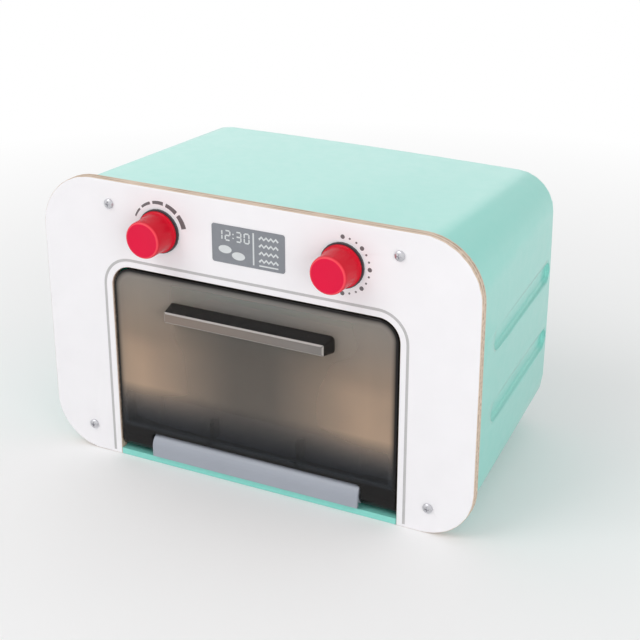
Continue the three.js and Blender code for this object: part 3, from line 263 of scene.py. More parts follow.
# The middle range of a noise, and how far its gloss strays on plastic and metal
NOISE_LOW = 0.3
NOISE_HIGH = 0.7
PLASTIC_STRAY_SHARE = 0.06
METAL_SMOOTH_SHARE = 0.8
METAL_ROUGH_SHARE = 1.3

# Colours as red, green and blue in linear light
WHITE_PAINT = (0.905, 0.892, 0.915)
PLY_LIGHT = (0.72, 0.58, 0.465)
PLY_DARK = (0.44, 0.315, 0.23)
MINT = (0.24, 0.70, 0.615)
# Deep green of the cavity: painted shade on the same mint plastic
MINT_PAINTED_CAVITY_SHADE = (0.006, 0.60, 0.45)
FLOOR_GREY = (0.36, 0.385, 0.44)
SMOKE = (0.45, 0.395, 0.35)
# Pane tones: a painted reflection at the sides, painted shade at the foot and a painted gleam at the top
SMOKE_PAINTED_REFLECTION = (0.72, 0.525, 0.375)
SMOKE_PAINTED_SHADE = (0.10, 0.12, 0.145)
SMOKE_PAINTED_GLEAM = (0.60, 0.585, 0.555)
SMOKE_RIM = (0.02, 0.019, 0.019)
# Handle tones: a painted reflection on the front, warmer to the left, and a painted highlight on the edges
HANDLE_FRONT_REFLECTION = (0.30, 0.28, 0.265)
HANDLE_WARM_REFLECTION = (0.34, 0.27, 0.225)
HANDLE_EDGE_HIGHLIGHT = (0.55, 0.51, 0.48)
# Knob reds: the face lighter as painted light, the edge as a painted highlight
KNOB_SIDE = (0.65, 0.0, 0.018)
KNOB_EDGE_HIGHLIGHT = (0.90, 0.07, 0.10)
KNOB_FACE_LIT = (0.76, 0.004, 0.05)
DARK_GREY = (0.055, 0.055, 0.062)
LABEL_GREY = (0.235, 0.25, 0.275)
LABEL_PALE = (0.68, 0.71, 0.72)
LINE_GREY = (0.52, 0.51, 0.515)
DASH_GREY = (0.15, 0.14, 0.145)
SCREW_STEEL = (0.66, 0.66, 0.69)
LENS_CREAM = (0.83, 0.77, 0.62)
RUBBER_GREY = (0.13, 0.135, 0.14)
CONTACT_STEEL = (0.62, 0.61, 0.6)
PIN_STEEL = (0.55, 0.55, 0.57)
SPEAKER_STEEL = (0.32, 0.32, 0.34)
CIRCUIT_GREEN = (0.028, 0.145, 0.06)
CONE_BROWN = (0.09, 0.085, 0.07)
SHAFT_CREAM = (0.78, 0.73, 0.6)
SWITCH_BLACK = (0.02, 0.02, 0.022)
LAMP_WHITE = (0.85, 0.83, 0.76)
CELL_BLUE = (0.07, 0.16, 0.32)
LEAD_RED = (0.42, 0.02, 0.02)
LEAD_BLACK = (0.02, 0.02, 0.024)
STUDIO_DARK = (0.90, 0.90, 0.905)
STUDIO_PALE = (0.92, 0.92, 0.92)
WHITE = (1, 1, 1)


# Shader building blocks
def new_material(name):
    material = bpy.data.materials.new(name)
    material.use_nodes = True
    tree = material.node_tree
    tree.nodes.clear()
    output = tree.nodes.new("ShaderNodeOutputMaterial")
    shader = tree.nodes.new("ShaderNodeBsdfPrincipled")
    tree.links.new(shader.outputs["BSDF"], output.inputs["Surface"])
    return material, tree, shader


def noise(tree, scale, detail, stretch=(1, 1, 1)):
    coordinates = tree.nodes.new("ShaderNodeTexCoord")
    mapping = tree.nodes.new("ShaderNodeMapping")
    texture = tree.nodes.new("ShaderNodeTexNoise")
    mapping.inputs["Scale"].default_value = stretch
    texture.inputs["Scale"].default_value = scale
    texture.inputs["Detail"].default_value = detail
    tree.links.new(coordinates.outputs["Object"], mapping.inputs["Vector"])
    tree.links.new(mapping.outputs["Vector"], texture.inputs["Vector"])
    return texture.outputs["Fac"]


def mixed(tree, factor, first, second):
    mix = tree.nodes.new("ShaderNodeMix")
    mix.data_type = "RGBA"
    tree.links.new(factor, mix.inputs[0])
    for value, socket in ((first, mix.inputs[6]), (second, mix.inputs[7])):
        if isinstance(value, tuple):
            socket.default_value = (*value, 1)
        else:
            tree.links.new(value, socket)
    return mix.outputs[2]


def spread(tree, value, low, high, from_low=NOISE_LOW, from_high=NOISE_HIGH):
    remap = tree.nodes.new("ShaderNodeMapRange")
    remap.inputs["From Min"].default_value = from_low
    remap.inputs["From Max"].default_value = from_high
    remap.inputs["To Min"].default_value = low
    remap.inputs["To Max"].default_value = high
    tree.links.new(value, remap.inputs["Value"])
    return remap.outputs["Result"]


def math_node(tree, operation, first, second=None):
    node = tree.nodes.new("ShaderNodeMath")
    node.operation = operation
    for value, socket in ((first, node.inputs[0]), (second, node.inputs[1])):
        if value is None:
            continue
        if isinstance(value, (int, float)):
            socket.default_value = value
        else:
            tree.links.new(value, socket)
    return node.outputs[0]


def root_of_squares(tree, first, second):
    first = math_node(tree, "POWER", first, 2)
    second = math_node(tree, "POWER", second, 2)
    return math_node(tree, "SQRT", math_node(tree, "ADD", first, second))


def axes_of(tree, output):
    coordinates = tree.nodes.new("ShaderNodeTexCoord")
    split = tree.nodes.new("ShaderNodeSeparateXYZ")
    tree.links.new(coordinates.outputs[output], split.inputs["Vector"])
    return split.outputs


def position_axes(tree):
    return axes_of(tree, "Object")


def normal_axes(tree):
    return axes_of(tree, "Normal")


def shade(colour, share):
    return tuple(channel * share for channel in colour)


def clouded(tree, colour, darkest_share, scale, detail):
    """The colour, clouded with a darker tone of itself."""
    clouds = spread(tree, noise(tree, scale, detail), 0, 1)
    return mixed(tree, clouds, shade(colour, darkest_share), colour)


def set_colour(tree, shader, colour):
    tree.links.new(colour, shader.inputs["Base Color"])


def set_roughness(tree, shader, low, high, scale, detail):
    tree.links.new(spread(tree, noise(tree, scale, detail), low, high), shader.inputs["Roughness"])


def add_bump(tree, shader, height, strength, distance):
    bump = tree.nodes.new("ShaderNodeBump")
    bump.inputs["Strength"].default_value = strength
    bump.inputs["Distance"].default_value = distance
    tree.links.new(height, bump.inputs["Height"])
    tree.links.new(bump.outputs["Normal"], shader.inputs["Normal"])


# Moulded plastic with a fine texture and slightly uneven gloss
def moulded(name, colour, roughness, grain=2600, depth=MOULD_DEPTH):
    material, tree, shader = new_material(name)
    set_colour(tree, shader, clouded(tree, colour, darkest_share=0.965, scale=28, detail=4))
    smooth = roughness * (1 - PLASTIC_STRAY_SHARE)
    rough = roughness * (1 + PLASTIC_STRAY_SHARE)
    set_roughness(tree, shader, smooth, rough, scale=160, detail=5)
    add_bump(tree, shader, noise(tree, grain, detail=2), strength=0.2, distance=depth)
    return material


# Plywood: satin paint on the face, bare plies round the edges
def painted_board():
    material, tree, shader = new_material("painted_board")
    facing = math_node(tree, "ABSOLUTE", normal_axes(tree)["Y"])
    on_face = math_node(tree, "GREATER_THAN", facing, PAINTED_SLOPE)
    through = math_node(tree, "SUBTRACT", position_axes(tree)["Y"], board_low.y)
    turns = math.tau * PLY_PAIRS / (board_high.y - board_low.y)
    plies = math_node(tree, "SINE", math_node(tree, "MULTIPLY", through, turns))
    layered = mixed(tree, spread(tree, plies, 0, 1, -PLY_BLUR, PLY_BLUR), PLY_DARK, PLY_LIGHT)
    grain = noise(tree, scale=60, detail=6, stretch=(1, 6, 9))
    grain = spread(tree, grain, 0, 1, from_low=0.35, from_high=0.75)
    wood = mixed(tree, grain, layered, shade(PLY_LIGHT, share=1.12))
    paint = clouded(tree, WHITE_PAINT, darkest_share=0.975, scale=45, detail=4)
    set_colour(tree, shader, mixed(tree, on_face, wood, paint))
    roughness = spread(tree, on_face, WOOD_ROUGHNESS, PAINT_ROUGHNESS, from_low=0, from_high=1)
    stray = spread(tree, noise(tree, scale=200, detail=4), -BOARD_STRAY, BOARD_STRAY)
    tree.links.new(math_node(tree, "ADD", roughness, stray), shader.inputs["Roughness"])
    fibres = noise(tree, scale=520, detail=3, stretch=(1, 1, 2.5))
    add_bump(tree, shader, fibres, strength=0.25, distance=PAINT_DEPTH)
    return material


# How far a point lies under the shell's side, which narrows to the back and bulges in the middle
def depth_under_side(tree, place, up):
    narrowing = SIDE_DRAFT / (housing_high.y - board_high.y)
    back = math_node(tree, "SUBTRACT", place["Y"], board_high.y)
    side = math_node(tree, "SUBTRACT", housing_high.x, math_node(tree, "MULTIPLY", back, narrowing))
    bulge = math_node(tree, "MULTIPLY", math_node(tree, "MULTIPLY", up, up), SIDE_CROWN)
    side = math_node(tree, "SUBTRACT", side, bulge)
    return math_node(tree, "SUBTRACT", side, math_node(tree, "ABSOLUTE", place["X"]))


# 1 on the shell's surfaces that look inward and lie behind the board, under the side and off the back
def inside_shell(tree):
    normal = normal_axes(tree)
    place = position_axes(tree)
    middle = (housing_low.z + housing_high.z) / 2
    half_height = (housing_high.z - housing_low.z) / 2
    across = math_node(tree, "DIVIDE", place["X"], housing_high.x)
    up = math_node(tree, "DIVIDE", math_node(tree, "SUBTRACT", place["Z"], middle), half_height)
    outward = math_node(tree, "ADD", math_node(tree, "MULTIPLY", normal["X"], across),
                        math_node(tree, "MULTIPLY", normal["Z"], up))
    backward = math_node(tree, "MULTIPLY", normal["Y"], BACK_LEAN_SHARE)
    inside = math_node(tree, "LESS_THAN", math_node(tree, "ADD", outward, backward), 0)
    behind = math_node(tree, "GREATER_THAN", place["Y"], board_high.y + JOINT_LINE)
    off_back = math_node(tree, "LESS_THAN", place["Y"], housing_high.y - BACK_WALL)
    deep = math_node(tree, "GREATER_THAN", depth_under_side(tree, place, up), WALL_REACH)
    for condition in (behind, off_back, deep):
        inside = math_node(tree, "MULTIPLY", inside, condition)
    return inside


# Mint shell: pale outside, deep green in the oven's own space as painted shade of the cavity on the same
# mint plastic
def shell_mint():
    material, tree, shader = new_material("mint_shell")
    pale = clouded(tree, MINT, darkest_share=0.985, scale=24, detail=4)
    deep = clouded(tree, MINT_PAINTED_CAVITY_SHADE, darkest_share=0.85, scale=30, detail=4)
    set_colour(tree, shader, mixed(tree, inside_shell(tree), pale, deep))
    set_roughness(tree, shader, low=0.3, high=0.4, scale=150, detail=5)
    shader.inputs["Coat Weight"].default_value = 0.8
    shader.inputs["Coat Roughness"].default_value = 0.3
    add_bump(tree, shader, noise(tree, scale=2400, detail=2), strength=0.3, distance=MOULD_DEPTH)
    return material


# Red knob: the rounded edges are a little paler than the side as a painted highlight, the face a little
# pinker as painted light
def knob_plastic():
    material, tree, shader = new_material("red_plastic")
    near_face = math_node(tree, "LESS_THAN", position_axes(tree)["Y"], knob_low.y + KNOB_PALE_REACH)
    to_front = math_node(tree, "MULTIPLY", normal_axes(tree)["Y"], -1)
    to_front = math_node(tree, "MULTIPLY", to_front, near_face)
    side = clouded(tree, KNOB_SIDE, darkest_share=0.95, scale=40, detail=3)
    lit_face = clouded(tree, KNOB_FACE_LIT, darkest_share=0.96, scale=40, detail=3)
    painted_highlight = spread(tree, to_front, 0, 1, KNOB_SIDE_SLOPE, KNOB_EDGE_SLOPE)
    on_face = spread(tree, to_front, 0, 1, KNOB_TURN_SLOPE, KNOB_FACE_SLOPE)
    set_colour(tree, shader, mixed(tree, on_face, mixed(tree, painted_highlight, side, KNOB_EDGE_HIGHLIGHT), lit_face))
    set_roughness(tree, shader, low=0.24, high=0.27, scale=160, detail=4)
    shader.inputs["Specular IOR Level"].default_value = 0.2
    add_bump(tree, shader, noise(tree, scale=5200, detail=2), strength=0.2, distance=SMOOTH_DEPTH)
    return material


# Sideways distance of a point of the door from the middle of the nearer stay
def off_stay(tree, place):
    across = math_node(tree, "ABSOLUTE", place["X"])
    return math_node(tree, "ABSOLUTE", math_node(tree, "SUBTRACT", across, STAY_ACROSS))


# How near a point of the door is to its outline: 1 in the rim and the feet, 0 on the pane
def door_rim(tree):
    place = position_axes(tree)
    across = math_node(tree, "ABSOLUTE", place["X"])
    beyond_side = math_node(tree, "SUBTRACT", across, door_high.x - DOOR_CORNER)
    beyond_side = math_node(tree, "MAXIMUM", beyond_side, 0)
    beyond_top = math_node(tree, "SUBTRACT", place["Z"], door_high.z - DOOR_CORNER)
    beyond_top = math_node(tree, "MAXIMUM", beyond_top, 0)
    reach = root_of_squares(tree, beyond_side, beyond_top)
    edge = spread(tree, reach, 0, 1, DOOR_CORNER - RIM_BAND, DOOR_CORNER - RIM_CORE)
    foot = spread(tree, place["Z"], 1, 0, FOOT_TOP, FOOT_TOP + RIM_BAND - RIM_CORE)
    beside_stay = math_node(tree, "GREATER_THAN", off_stay(tree, place), STAY_HALF)
    return math_node(tree, "MAXIMUM", edge, math_node(tree, "MULTIPLY", foot, beside_stay))


# The stays stand behind the pane and are darker than it
def door_stays(tree):
    place = position_axes(tree)
    in_line = math_node(tree, "LESS_THAN", off_stay(tree, place), STAY_HALF)
    behind = math_node(tree, "GREATER_THAN", place["Y"], door_low.y + PANE_THICKNESS)
    return math_node(tree, "MULTIPLY", in_line, behind)


# Painted reflection: the pane is paler and warmer towards its two sides, halfway up
def pane_painted_reflection(tree):
    place = position_axes(tree)
    aside = spread(tree, math_node(tree, "ABSOLUTE", place["X"]), 0, 1, REFLECTION_START, REFLECTION_END)
    rise = math_node(tree, "ABSOLUTE", math_node(tree, "SUBTRACT", place["Z"], REFLECTION_HEIGHT))
    level = spread(tree, rise, 1, 0, REFLECTION_START, REFLECTION_END)
    clouds = spread(tree, noise(tree, scale=14, detail=2), low=0.6, high=1)
    return math_node(tree, "MULTIPLY", math_node(tree, "MULTIPLY", aside, level), clouds)


# Smoked clear plastic: the pane lets light through, the thick rim is nearly black; a painted reflection at
# the sides, painted shade at the foot and a painted gleam at the top
def smoked_pane():
    material, tree, shader = new_material("smoked_plastic")
    rise = position_axes(tree)["Z"]
    rim = math_node(tree, "MAXIMUM", door_rim(tree), door_stays(tree))
    # Painted shade darkens the foot; a painted gleam lightens the top
    low = spread(tree, rise, 1, 0, SHADE_LOW, SHADE_HIGH)
    high = spread(tree, rise, 0, 1, door_high.z - GLEAM_REACH, door_high.z)
    painted_reflection = math_node(tree, "MULTIPLY", pane_painted_reflection(tree), math_node(tree, "SUBTRACT", 1, low))
    pane = mixed(tree, painted_reflection, mixed(tree, high, SMOKE, SMOKE_PAINTED_GLEAM), SMOKE_PAINTED_REFLECTION)
    pane = mixed(tree, low, pane, SMOKE_PAINTED_SHADE)
    set_colour(tree, shader, mixed(tree, rim, pane, SMOKE_RIM))
    clear = spread(tree, painted_reflection, PANE_CLEAR, PANE_CLEAR_UNDER_REFLECTION, from_low=0, from_high=1)
    for field, clearness in ((high, PANE_HIGH_CLEAR), (low, PANE_LOW_CLEAR), (rim, RIM_CLEAR)):
        change = math_node(tree, "MULTIPLY", field, clearness - PANE_CLEAR)
        clear = math_node(tree, "ADD", clear, change)
    tree.links.new(clear, shader.inputs["Transmission Weight"])
    set_roughness(tree, shader, low=0.04, high=0.08, scale=90, detail=5)
    shader.inputs["IOR"].default_value = PANE_BENDING
    shader.inputs["Specular IOR Level"].default_value = DOOR_GLOSS
    add_bump(tree, shader, noise(tree, scale=700, detail=3), strength=0.02, distance=SMOOTH_DEPTH)
    return material


# The handle's front is paler than its top and ends and warmer to the left, a painted reflection, and
# palest along its edges, a painted highlight
def smoked_handle():
    material, tree, shader = new_material("smoked_handle")
    slope = normal_axes(tree)["Y"]
    front = spread(tree, slope, 1, 0, -FRONT_SLOPE, -TOP_SLOPE)
    streaks = spread(tree, noise(tree, scale=120, detail=4, stretch=(0.2, 1, 1)), 0, 1)
    pale = mixed(tree, streaks, shade(HANDLE_FRONT_REFLECTION, share=0.85), HANDLE_FRONT_REFLECTION)
    to_left = spread(tree, position_axes(tree)["X"], 1, 0, -HANDLE_HALF, HANDLE_HALF)
    pale = mixed(tree, to_left, pale, HANDLE_WARM_REFLECTION)
    # The bevelled edges get a painted highlight
    off_edge = math_node(tree, "ABSOLUTE", math_node(tree, "ADD", slope, EDGE_SLOPE))
    edge = spread(tree, off_edge, 1, 0, EDGE_SLOPE_CORE, EDGE_SLOPE_BLUR)
    set_colour(tree, shader, mixed(tree, edge, mixed(tree, front, SMOKE_RIM, pale), HANDLE_EDGE_HIGHLIGHT))
    set_roughness(tree, shader, low=0.06, high=0.12, scale=90, detail=5)
    shader.inputs["Transmission Weight"].default_value = HANDLE_CLEAR
    shader.inputs["IOR"].default_value = HANDLE_BENDING
    shader.inputs["Specular IOR Level"].default_value = DOOR_GLOSS
    add_bump(tree, shader, noise(tree, scale=700, detail=3), strength=0.05, distance=SATIN_DEPTH)
    return material


def metal(name, colour, roughness):
    material, tree, shader = new_material(name)
    set_colour(tree, shader, clouded(tree, colour, darkest_share=0.85, scale=600, detail=4))
    shader.inputs["Metallic"].default_value = 1
    smooth = roughness * METAL_SMOOTH_SHARE
    rough = roughness * METAL_ROUGH_SHARE
    set_roughness(tree, shader, smooth, rough, scale=900, detail=5)
    add_bump(tree, shader, noise(tree, scale=3000, detail=2), strength=0.2, distance=SMOOTH_DEPTH)
    return material


def frosted(name, colour):
    material, tree, shader = new_material(name)
    set_colour(tree, shader, clouded(tree, colour, darkest_share=0.95, scale=60, detail=4))
    set_roughness(tree, shader, low=0.35, high=0.5, scale=400, detail=4)
    shader.inputs["Transmission Weight"].default_value = 0.25
    shader.inputs["Subsurface Weight"].default_value = 0.15
    add_bump(tree, shader, noise(tree, scale=1500, detail=2), strength=0.3, distance=SATIN_DEPTH)
    return material


def printed(name, colour):
    material, tree, shader = new_material(name)
    set_colour(tree, shader, clouded(tree, colour, darkest_share=0.94, scale=300, detail=4))
    set_roughness(tree, shader, low=0.38, high=0.48, scale=700, detail=3)
    add_bump(tree, shader, noise(tree, scale=2600, detail=2), strength=0.15, distance=SMOOTH_DEPTH)
    return material


# Pieces
def body_of_node(node):
    bodies = frame["record"]["behaviour"]["bodies"]
    return next(body for body, members in bodies.items() if node in members)


def add_piece(name, mesh, material, body, sharp_degrees=SHARP_DEGREES):
    mesh.materials.append(material)
    mesh.shade_smooth()
    mesh.set_sharp_from_angle(angle=math.radians(sharp_degrees))
    piece = bpy.data.objects.new(name, mesh)
    bpy.context.scene.collection.objects.link(piece)
    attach(piece, body)
    return piece


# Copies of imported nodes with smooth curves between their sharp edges
def dressed(node, material, sharp_degrees):
    name = node + "_dressed"
    mesh = frame["nodes"][node].data.copy()
    mesh.name = name
    mesh.materials.clear()
    for polygon in mesh.polygons:
        polygon.material_index = 0
    merged = bmesh.new()
    merged.from_mesh(mesh)
    bmesh.ops.remove_doubles(merged, verts=merged.verts, dist=MERGE_REACH)
    merged.to_mesh(mesh)
    merged.free()
    piece = add_piece(name, mesh, material, body_of_node(node), sharp_degrees)
    even = piece.modifiers.new("even_normals", "WEIGHTED_NORMAL")
    even.keep_sharp = True
    even.weight = NORMAL_WEIGHT
    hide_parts(node)


def finished_mesh(name, drawing):
    bmesh.ops.recalc_face_normals(drawing, faces=drawing.faces)
    mesh = bpy.data.meshes.new(name)
    drawing.to_mesh(mesh)
    drawing.free()
    return mesh


def prism(drawing, outline, front, back):
    """Adds a slab between two depths. Its outline is (x, z) points, anticlockwise from the front."""
    near = [drawing.verts.new((x, front, z)) for x, z in outline]
    far = [drawing.verts.new((x, back, z)) for x, z in outline]
    drawing.faces.new(near)
    drawing.faces.new(list(reversed(far)))
    for place in range(len(outline)):
        after = (place + 1) % len(outline)
        drawing.faces.new((near[after], near[place], far[place], far[after]))


def ribbon(path, widths):
    """Outline of a band of changing width along (x, z) points."""
    left, right = [], []
    for place, (x, z) in enumerate(path):
        before = path[max(place - 1, 0)]
        after = path[min(place + 1, len(path) - 1)]
        along = Vector((after[0] - before[0], after[1] - before[1])).normalized()
        half = widths[place] / 2
        left.append((x - along.y * half, z + along.x * half))
        right.append((x + along.y * half, z - along.x * half))
    return right + list(reversed(left))


def arc(centre, radius, start_degrees, end_degrees, steps):
    """Points round a centre, with the angle clockwise from the top."""
    x, z = centre
    points = []
    for step in range(steps + 1):
        angle = math.radians(start_degrees + (end_degrees - start_degrees) * step / steps)
        points.append((x + radius * math.sin(angle), z + radius * math.cos(angle)))
    return points


def oval(centre, half_width, half_height, sides):
    x, z = centre
    points = []
    for step in range(sides):
        angle = math.tau * step / sides
        points.append((x + half_width * math.cos(angle), z + half_height * math.sin(angle)))
    return points


def bar(centre, width, height):
    x, z = centre
    return [(x - width / 2, z - height / 2), (x + width / 2, z - height / 2),
            (x + width / 2, z + height / 2), (x - width / 2, z + height / 2)]


# Prints on the board and the display
def add_print(name, outlines, surface, proud, material):
    drawing = bmesh.new()
    for outline in outlines:
        prism(drawing, outline, surface - proud, surface + PRINT_SUNK)
    add_piece(name, finished_mesh(name, drawing), material, "oven")


def mouth_line(material):
    half = door_high.x + DOOR_GAP + LINE_MARGIN
    top = door_high.z + DOOR_GAP + LINE_MARGIN
    turn = top - LINE_RADIUS
    path = [(-half, LINE_FOOT), (-half, turn / 2)]
    path += arc((-half + LINE_RADIUS, turn), LINE_RADIUS, -90, 0, LINE_STEPS)
    path += arc((half - LINE_RADIUS, turn), LINE_RADIUS, 0, 90, LINE_STEPS)
    path += [(half, turn / 2), (half, LINE_FOOT)]
    outline = ribbon(path, [LINE_WIDTH] * len(path))
    add_print("mouth_line", [outline], board_low.y, PRINT_PROUD, material)


def knob_centre(name):
    low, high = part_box(name)
    return ((low.x + high.x) / 2, (low.z + high.z) / 2)


def left_dial_marks(material):
    centre = knob_centre("left_knob")
    outlines = []
    for place, (start, end) in enumerate(zip(DASH_ENDS_DEGREES, DASH_ENDS_DEGREES[1:])):
        path = arc(centre, DASH_RADIUS, start + DASH_GAP_DEGREES, end - DASH_GAP_DEGREES, DASH_STEPS)
        thin = DASH_START_WIDTH + DASH_START_GROWTH * place
        thick = DASH_END_WIDTH + DASH_END_GROWTH * place
        widths = [thin + (thick - thin) * step / DASH_STEPS for step in range(DASH_STEPS + 1)]
        outlines.append(ribbon(path, widths))
    add_print("left_dial_marks", outlines, board_low.y, PRINT_PROUD, material)


def right_dial_marks(material):
    ring = arc(knob_centre("right_knob"), DOT_RING, 0, DOT_SWEEP_DEGREES, DOT_COUNT - 1)
    outlines = []
    for place, at in enumerate(ring):
        size = LARGE_DOT if place % LARGE_DOT_EVERY == 0 else SMALL_DOT
        outlines.append(oval(at, size, size, DOT_SIDES))
    add_print("right_dial_marks", outlines, board_low.y, PRINT_PROUD, material)


def figure_outlines(centre, figure):
    x, z = centre
    side = FIGURE_WIDTH / 2
    rise = FIGURE_HEIGHT / 2
    level = FIGURE_WIDTH * BAR_LENGTH_SHARE
    upright = rise * BAR_LENGTH_SHARE
    bars = {
        "a": bar((x, z + rise), level, FIGURE_STROKE),
        "g": bar((x, z), level, FIGURE_STROKE),
        "d": bar((x, z - rise), level, FIGURE_STROKE),
        "f": bar((x - side, z + rise / 2), FIGURE_STROKE, upright),
        "b": bar((x + side, z + rise / 2), FIGURE_STROKE, upright),
        "e": bar((x - side, z - rise / 2), FIGURE_STROKE, upright),
        "c": bar((x + side, z - rise / 2), FIGURE_STROKE, upright),
    }
    return [bars[name] for name in FIGURE_BARS[figure]]


def clock_outlines(middle):
    left = middle[0] - FIGURE_LEFT
    outlines = []
    for place, figure in enumerate(FIGURES):
        offset = FIGURE_STEP * place
        if place >= len(FIGURES) // 2:
            offset += COLON_SPACE
        outlines += figure_outlines((left + offset, middle[1] + FIGURE_RISE), figure)
    for rise in COLON_RISES:
        at = (left + COLON_ACROSS, middle[1] + rise)
        outlines.append(oval(at, COLON_DOT, COLON_DOT, COLON_SIDES))
    return outlines


def zigzag_outline(middle, row):
    path = []
    for step in range(ZIGZAG_POINTS):
        swing = ZIGZAG_SWING if step % 2 else -ZIGZAG_SWING
        path.append((middle[0] + ZIGZAG_LEFT + ZIGZAG_STEP * step,
                     middle[1] + ZIGZAG_TOP - ZIGZAG_PITCH * row + swing))
    return ribbon(path, [ZIGZAG_WIDTH] * len(path))


def display_marks(material):
    middle = (0, (label_low.z + label_high.z) / 2)
    outlines = clock_outlines(middle)
    for across, rise in OVAL_PLACES:
        at = (middle[0] + across, middle[1] + rise)
        outlines.append(oval(at, OVAL_HALF_WIDTH, OVAL_HALF_HEIGHT, OVAL_SIDES))
    outlines.append(bar((middle[0] + DIVIDER_ACROSS, middle[1]), DIVIDER_WIDTH, DIVIDER_HEIGHT))
    outlines += [zigzag_outline(middle, row) for row in range(ZIGZAG_ROWS)]
    outlines.append(bar((middle[0] + BAR_ACROSS, middle[1] - BAR_DROP), BAR_WIDTH, BAR_HEIGHT))
    add_print("display_marks", outlines, label_low.y, DISPLAY_PROUD, material)


# Turns a profile of (radius, height) points, with both ends on the Z axis, round that axis
def lathe_mesh(name, profile, sides):
    drawing = bmesh.new()
    rings = []
    for radius, along in profile[1:-1]:
        ring = []
        for step in range(sides):
            angle = math.tau * step / sides
            ring.append(drawing.verts.new((radius * math.cos(angle), radius * math.sin(angle), along)))
        rings.append(ring)
    start = drawing.verts.new((0, 0, profile[0][1]))
    end = drawing.verts.new((0, 0, profile[-1][1]))
    for step in range(sides):
        after = (step + 1) % sides
        drawing.faces.new((rings[0][after], rings[0][step], start))
        for low, high in zip(rings, rings[1:]):
            drawing.faces.new((low[step], low[after], high[after], high[step]))
        drawing.faces.new((rings[-1][step], rings[-1][after], end))
    return finished_mesh(name, drawing)


# Turns a mesh made along Z to face outward, with its far end where the node ends
def turned_outward(mesh, node, outward, length):
    low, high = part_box(node)
    axis = max(range(3), key=lambda place: abs(outward[place]))
    facing_out = Vector(outward)
    seat = (low + high) / 2
    tip = high[axis] if facing_out[axis] > 0 else low[axis]
    seat[axis] = tip - facing_out[axis] * length
    mesh.transform(Vector((0, 0, 1)).rotation_difference(facing_out).to_matrix().to_4x4())
    for vertex in mesh.vertices:
        vertex.co += seat


def radius_across(node, outward):
    low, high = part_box(node)
    across = next(place for place in range(3) if outward[place] == 0)
    return (high[across] - low[across]) / 2


# Cross-head screws in place of the plain ones: point, shank and domed head
def screw_profile(radius, length, head_height):
    neck = length - head_height
    edge = neck + head_height * HEAD_EDGE_SHARE
    shank = radius * SHANK_SHARE
    points = [(0, 0), (shank, shank), (shank, neck), (radius, neck), (radius, edge)]
    for step in range(1, DOME_STEPS + 1):
        angle = math.pi / 2 * step / DOME_STEPS
        points.append((radius * math.cos(angle), edge + (length - edge) * math.sin(angle)))
    return points


# The cross is one quarter's outline, turned by right angles, and narrows inward
def cross_cutter(radius, height):
    arm = radius * CROSS_ARM_SHARE
    half = radius * CROSS_WIDTH_SHARE
    outline = []
    for turn in range(CROSS_ARMS):
        for x, y in ((half, half), (half, arm), (-half, arm)):
            for _ in range(turn):
                x, y = -y, x
            outline.append((x, y))
    drawing = bmesh.new()
    top = [drawing.verts.new((x, y, height)) for x, y in outline]
    bottom = []
    for x, y in outline:
        bottom.append(drawing.verts.new((x * CROSS_TAPER_SHARE, y * CROSS_TAPER_SHARE, -height / 2)))
    drawing.faces.new(top)
    drawing.faces.new(list(reversed(bottom)))
    for place in range(len(outline)):
        after = (place + 1) % len(outline)
        drawing.faces.new((top[place], bottom[place], bottom[after], top[after]))
    cutter = bpy.data.objects.new("cross_cutter", finished_mesh("cross_cutter", drawing))
    bpy.context.scene.collection.objects.link(cutter)
    return cutter


def with_cross(mesh, radius, height, length):
    head = bpy.data.objects.new("uncut_head", mesh)
    bpy.context.scene.collection.objects.link(head)
    cutter = cross_cutter(radius, height)
    cutter.location = (0, 0, length)
    cut = head.modifiers.new("cross", "BOOLEAN")
    cut.operation = "DIFFERENCE"
    cut.object = cutter
    bpy.context.view_layer.update()
    evaluated = head.evaluated_get(bpy.context.evaluated_depsgraph_get())
    finished = bpy.data.meshes.new_from_object(evaluated)
    bpy.data.objects.remove(head)
    bpy.data.objects.remove(cutter)
    finished.materials.clear()
    return finished


def cross_screw(node, outward, head_height, material):
    name = node + "_turned"
    low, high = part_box(node)
    radius = radius_across(node, outward)
    length = max(high - low)
    whole = lathe_mesh(name, screw_profile(radius, length, head_height), SCREW_SIDES)
    mesh = with_cross(whole, radius, head_height, length)
    turned_outward(mesh, node, outward, length)
    piece = add_piece(name, mesh, material, body_of_node(node))
    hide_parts(node)


# Knob with a flared back, a rounded front edge and a slightly hollow face
def knob_profile(radius, length):
    waist = radius * KNOB_WAIST_SHARE
    points = [(0, 0), (radius - KNOB_BACK_EDGE, 0), (radius, KNOB_BACK_EDGE), (radius, KNOB_FLANGE)]
    for step in range(1, KNOB_EDGE_STEPS + 1):
        turn = math.pi / 2 * step / KNOB_EDGE_STEPS
        across = radius - (radius - waist) * math.sin(turn)
        points.append((across, KNOB_FLANGE + KNOB_FLARE * (1 - math.cos(turn))))
    flat = radius * KNOB_FRONT_SHARE - KNOB_EDGE
    for step in range(KNOB_EDGE_STEPS + 1):
        turn = math.pi / 2 * step / KNOB_EDGE_STEPS
        across = flat + KNOB_EDGE * math.cos(turn)
        points.append((across, length - KNOB_EDGE + KNOB_EDGE * math.sin(turn)))
    for step in range(1, KNOB_EDGE_STEPS + 1):
        share = step / KNOB_EDGE_STEPS
        points.append((flat * (1 - share), length - KNOB_DISH * math.sin(math.pi / 2 * share)))
    return points


def turned_knob(node, material):
    name = node + "_turned"
    low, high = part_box(node)
    length = high.y - low.y
    mesh = lathe_mesh(name, knob_profile(radius_across(node, TO_FRONT), length), KNOB_SIDES)
    turned_outward(mesh, node, TO_FRONT, length)
    piece = add_piece(name, mesh, material, body_of_node(node), KNOB_SHARP_DEGREES)
    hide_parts(node)


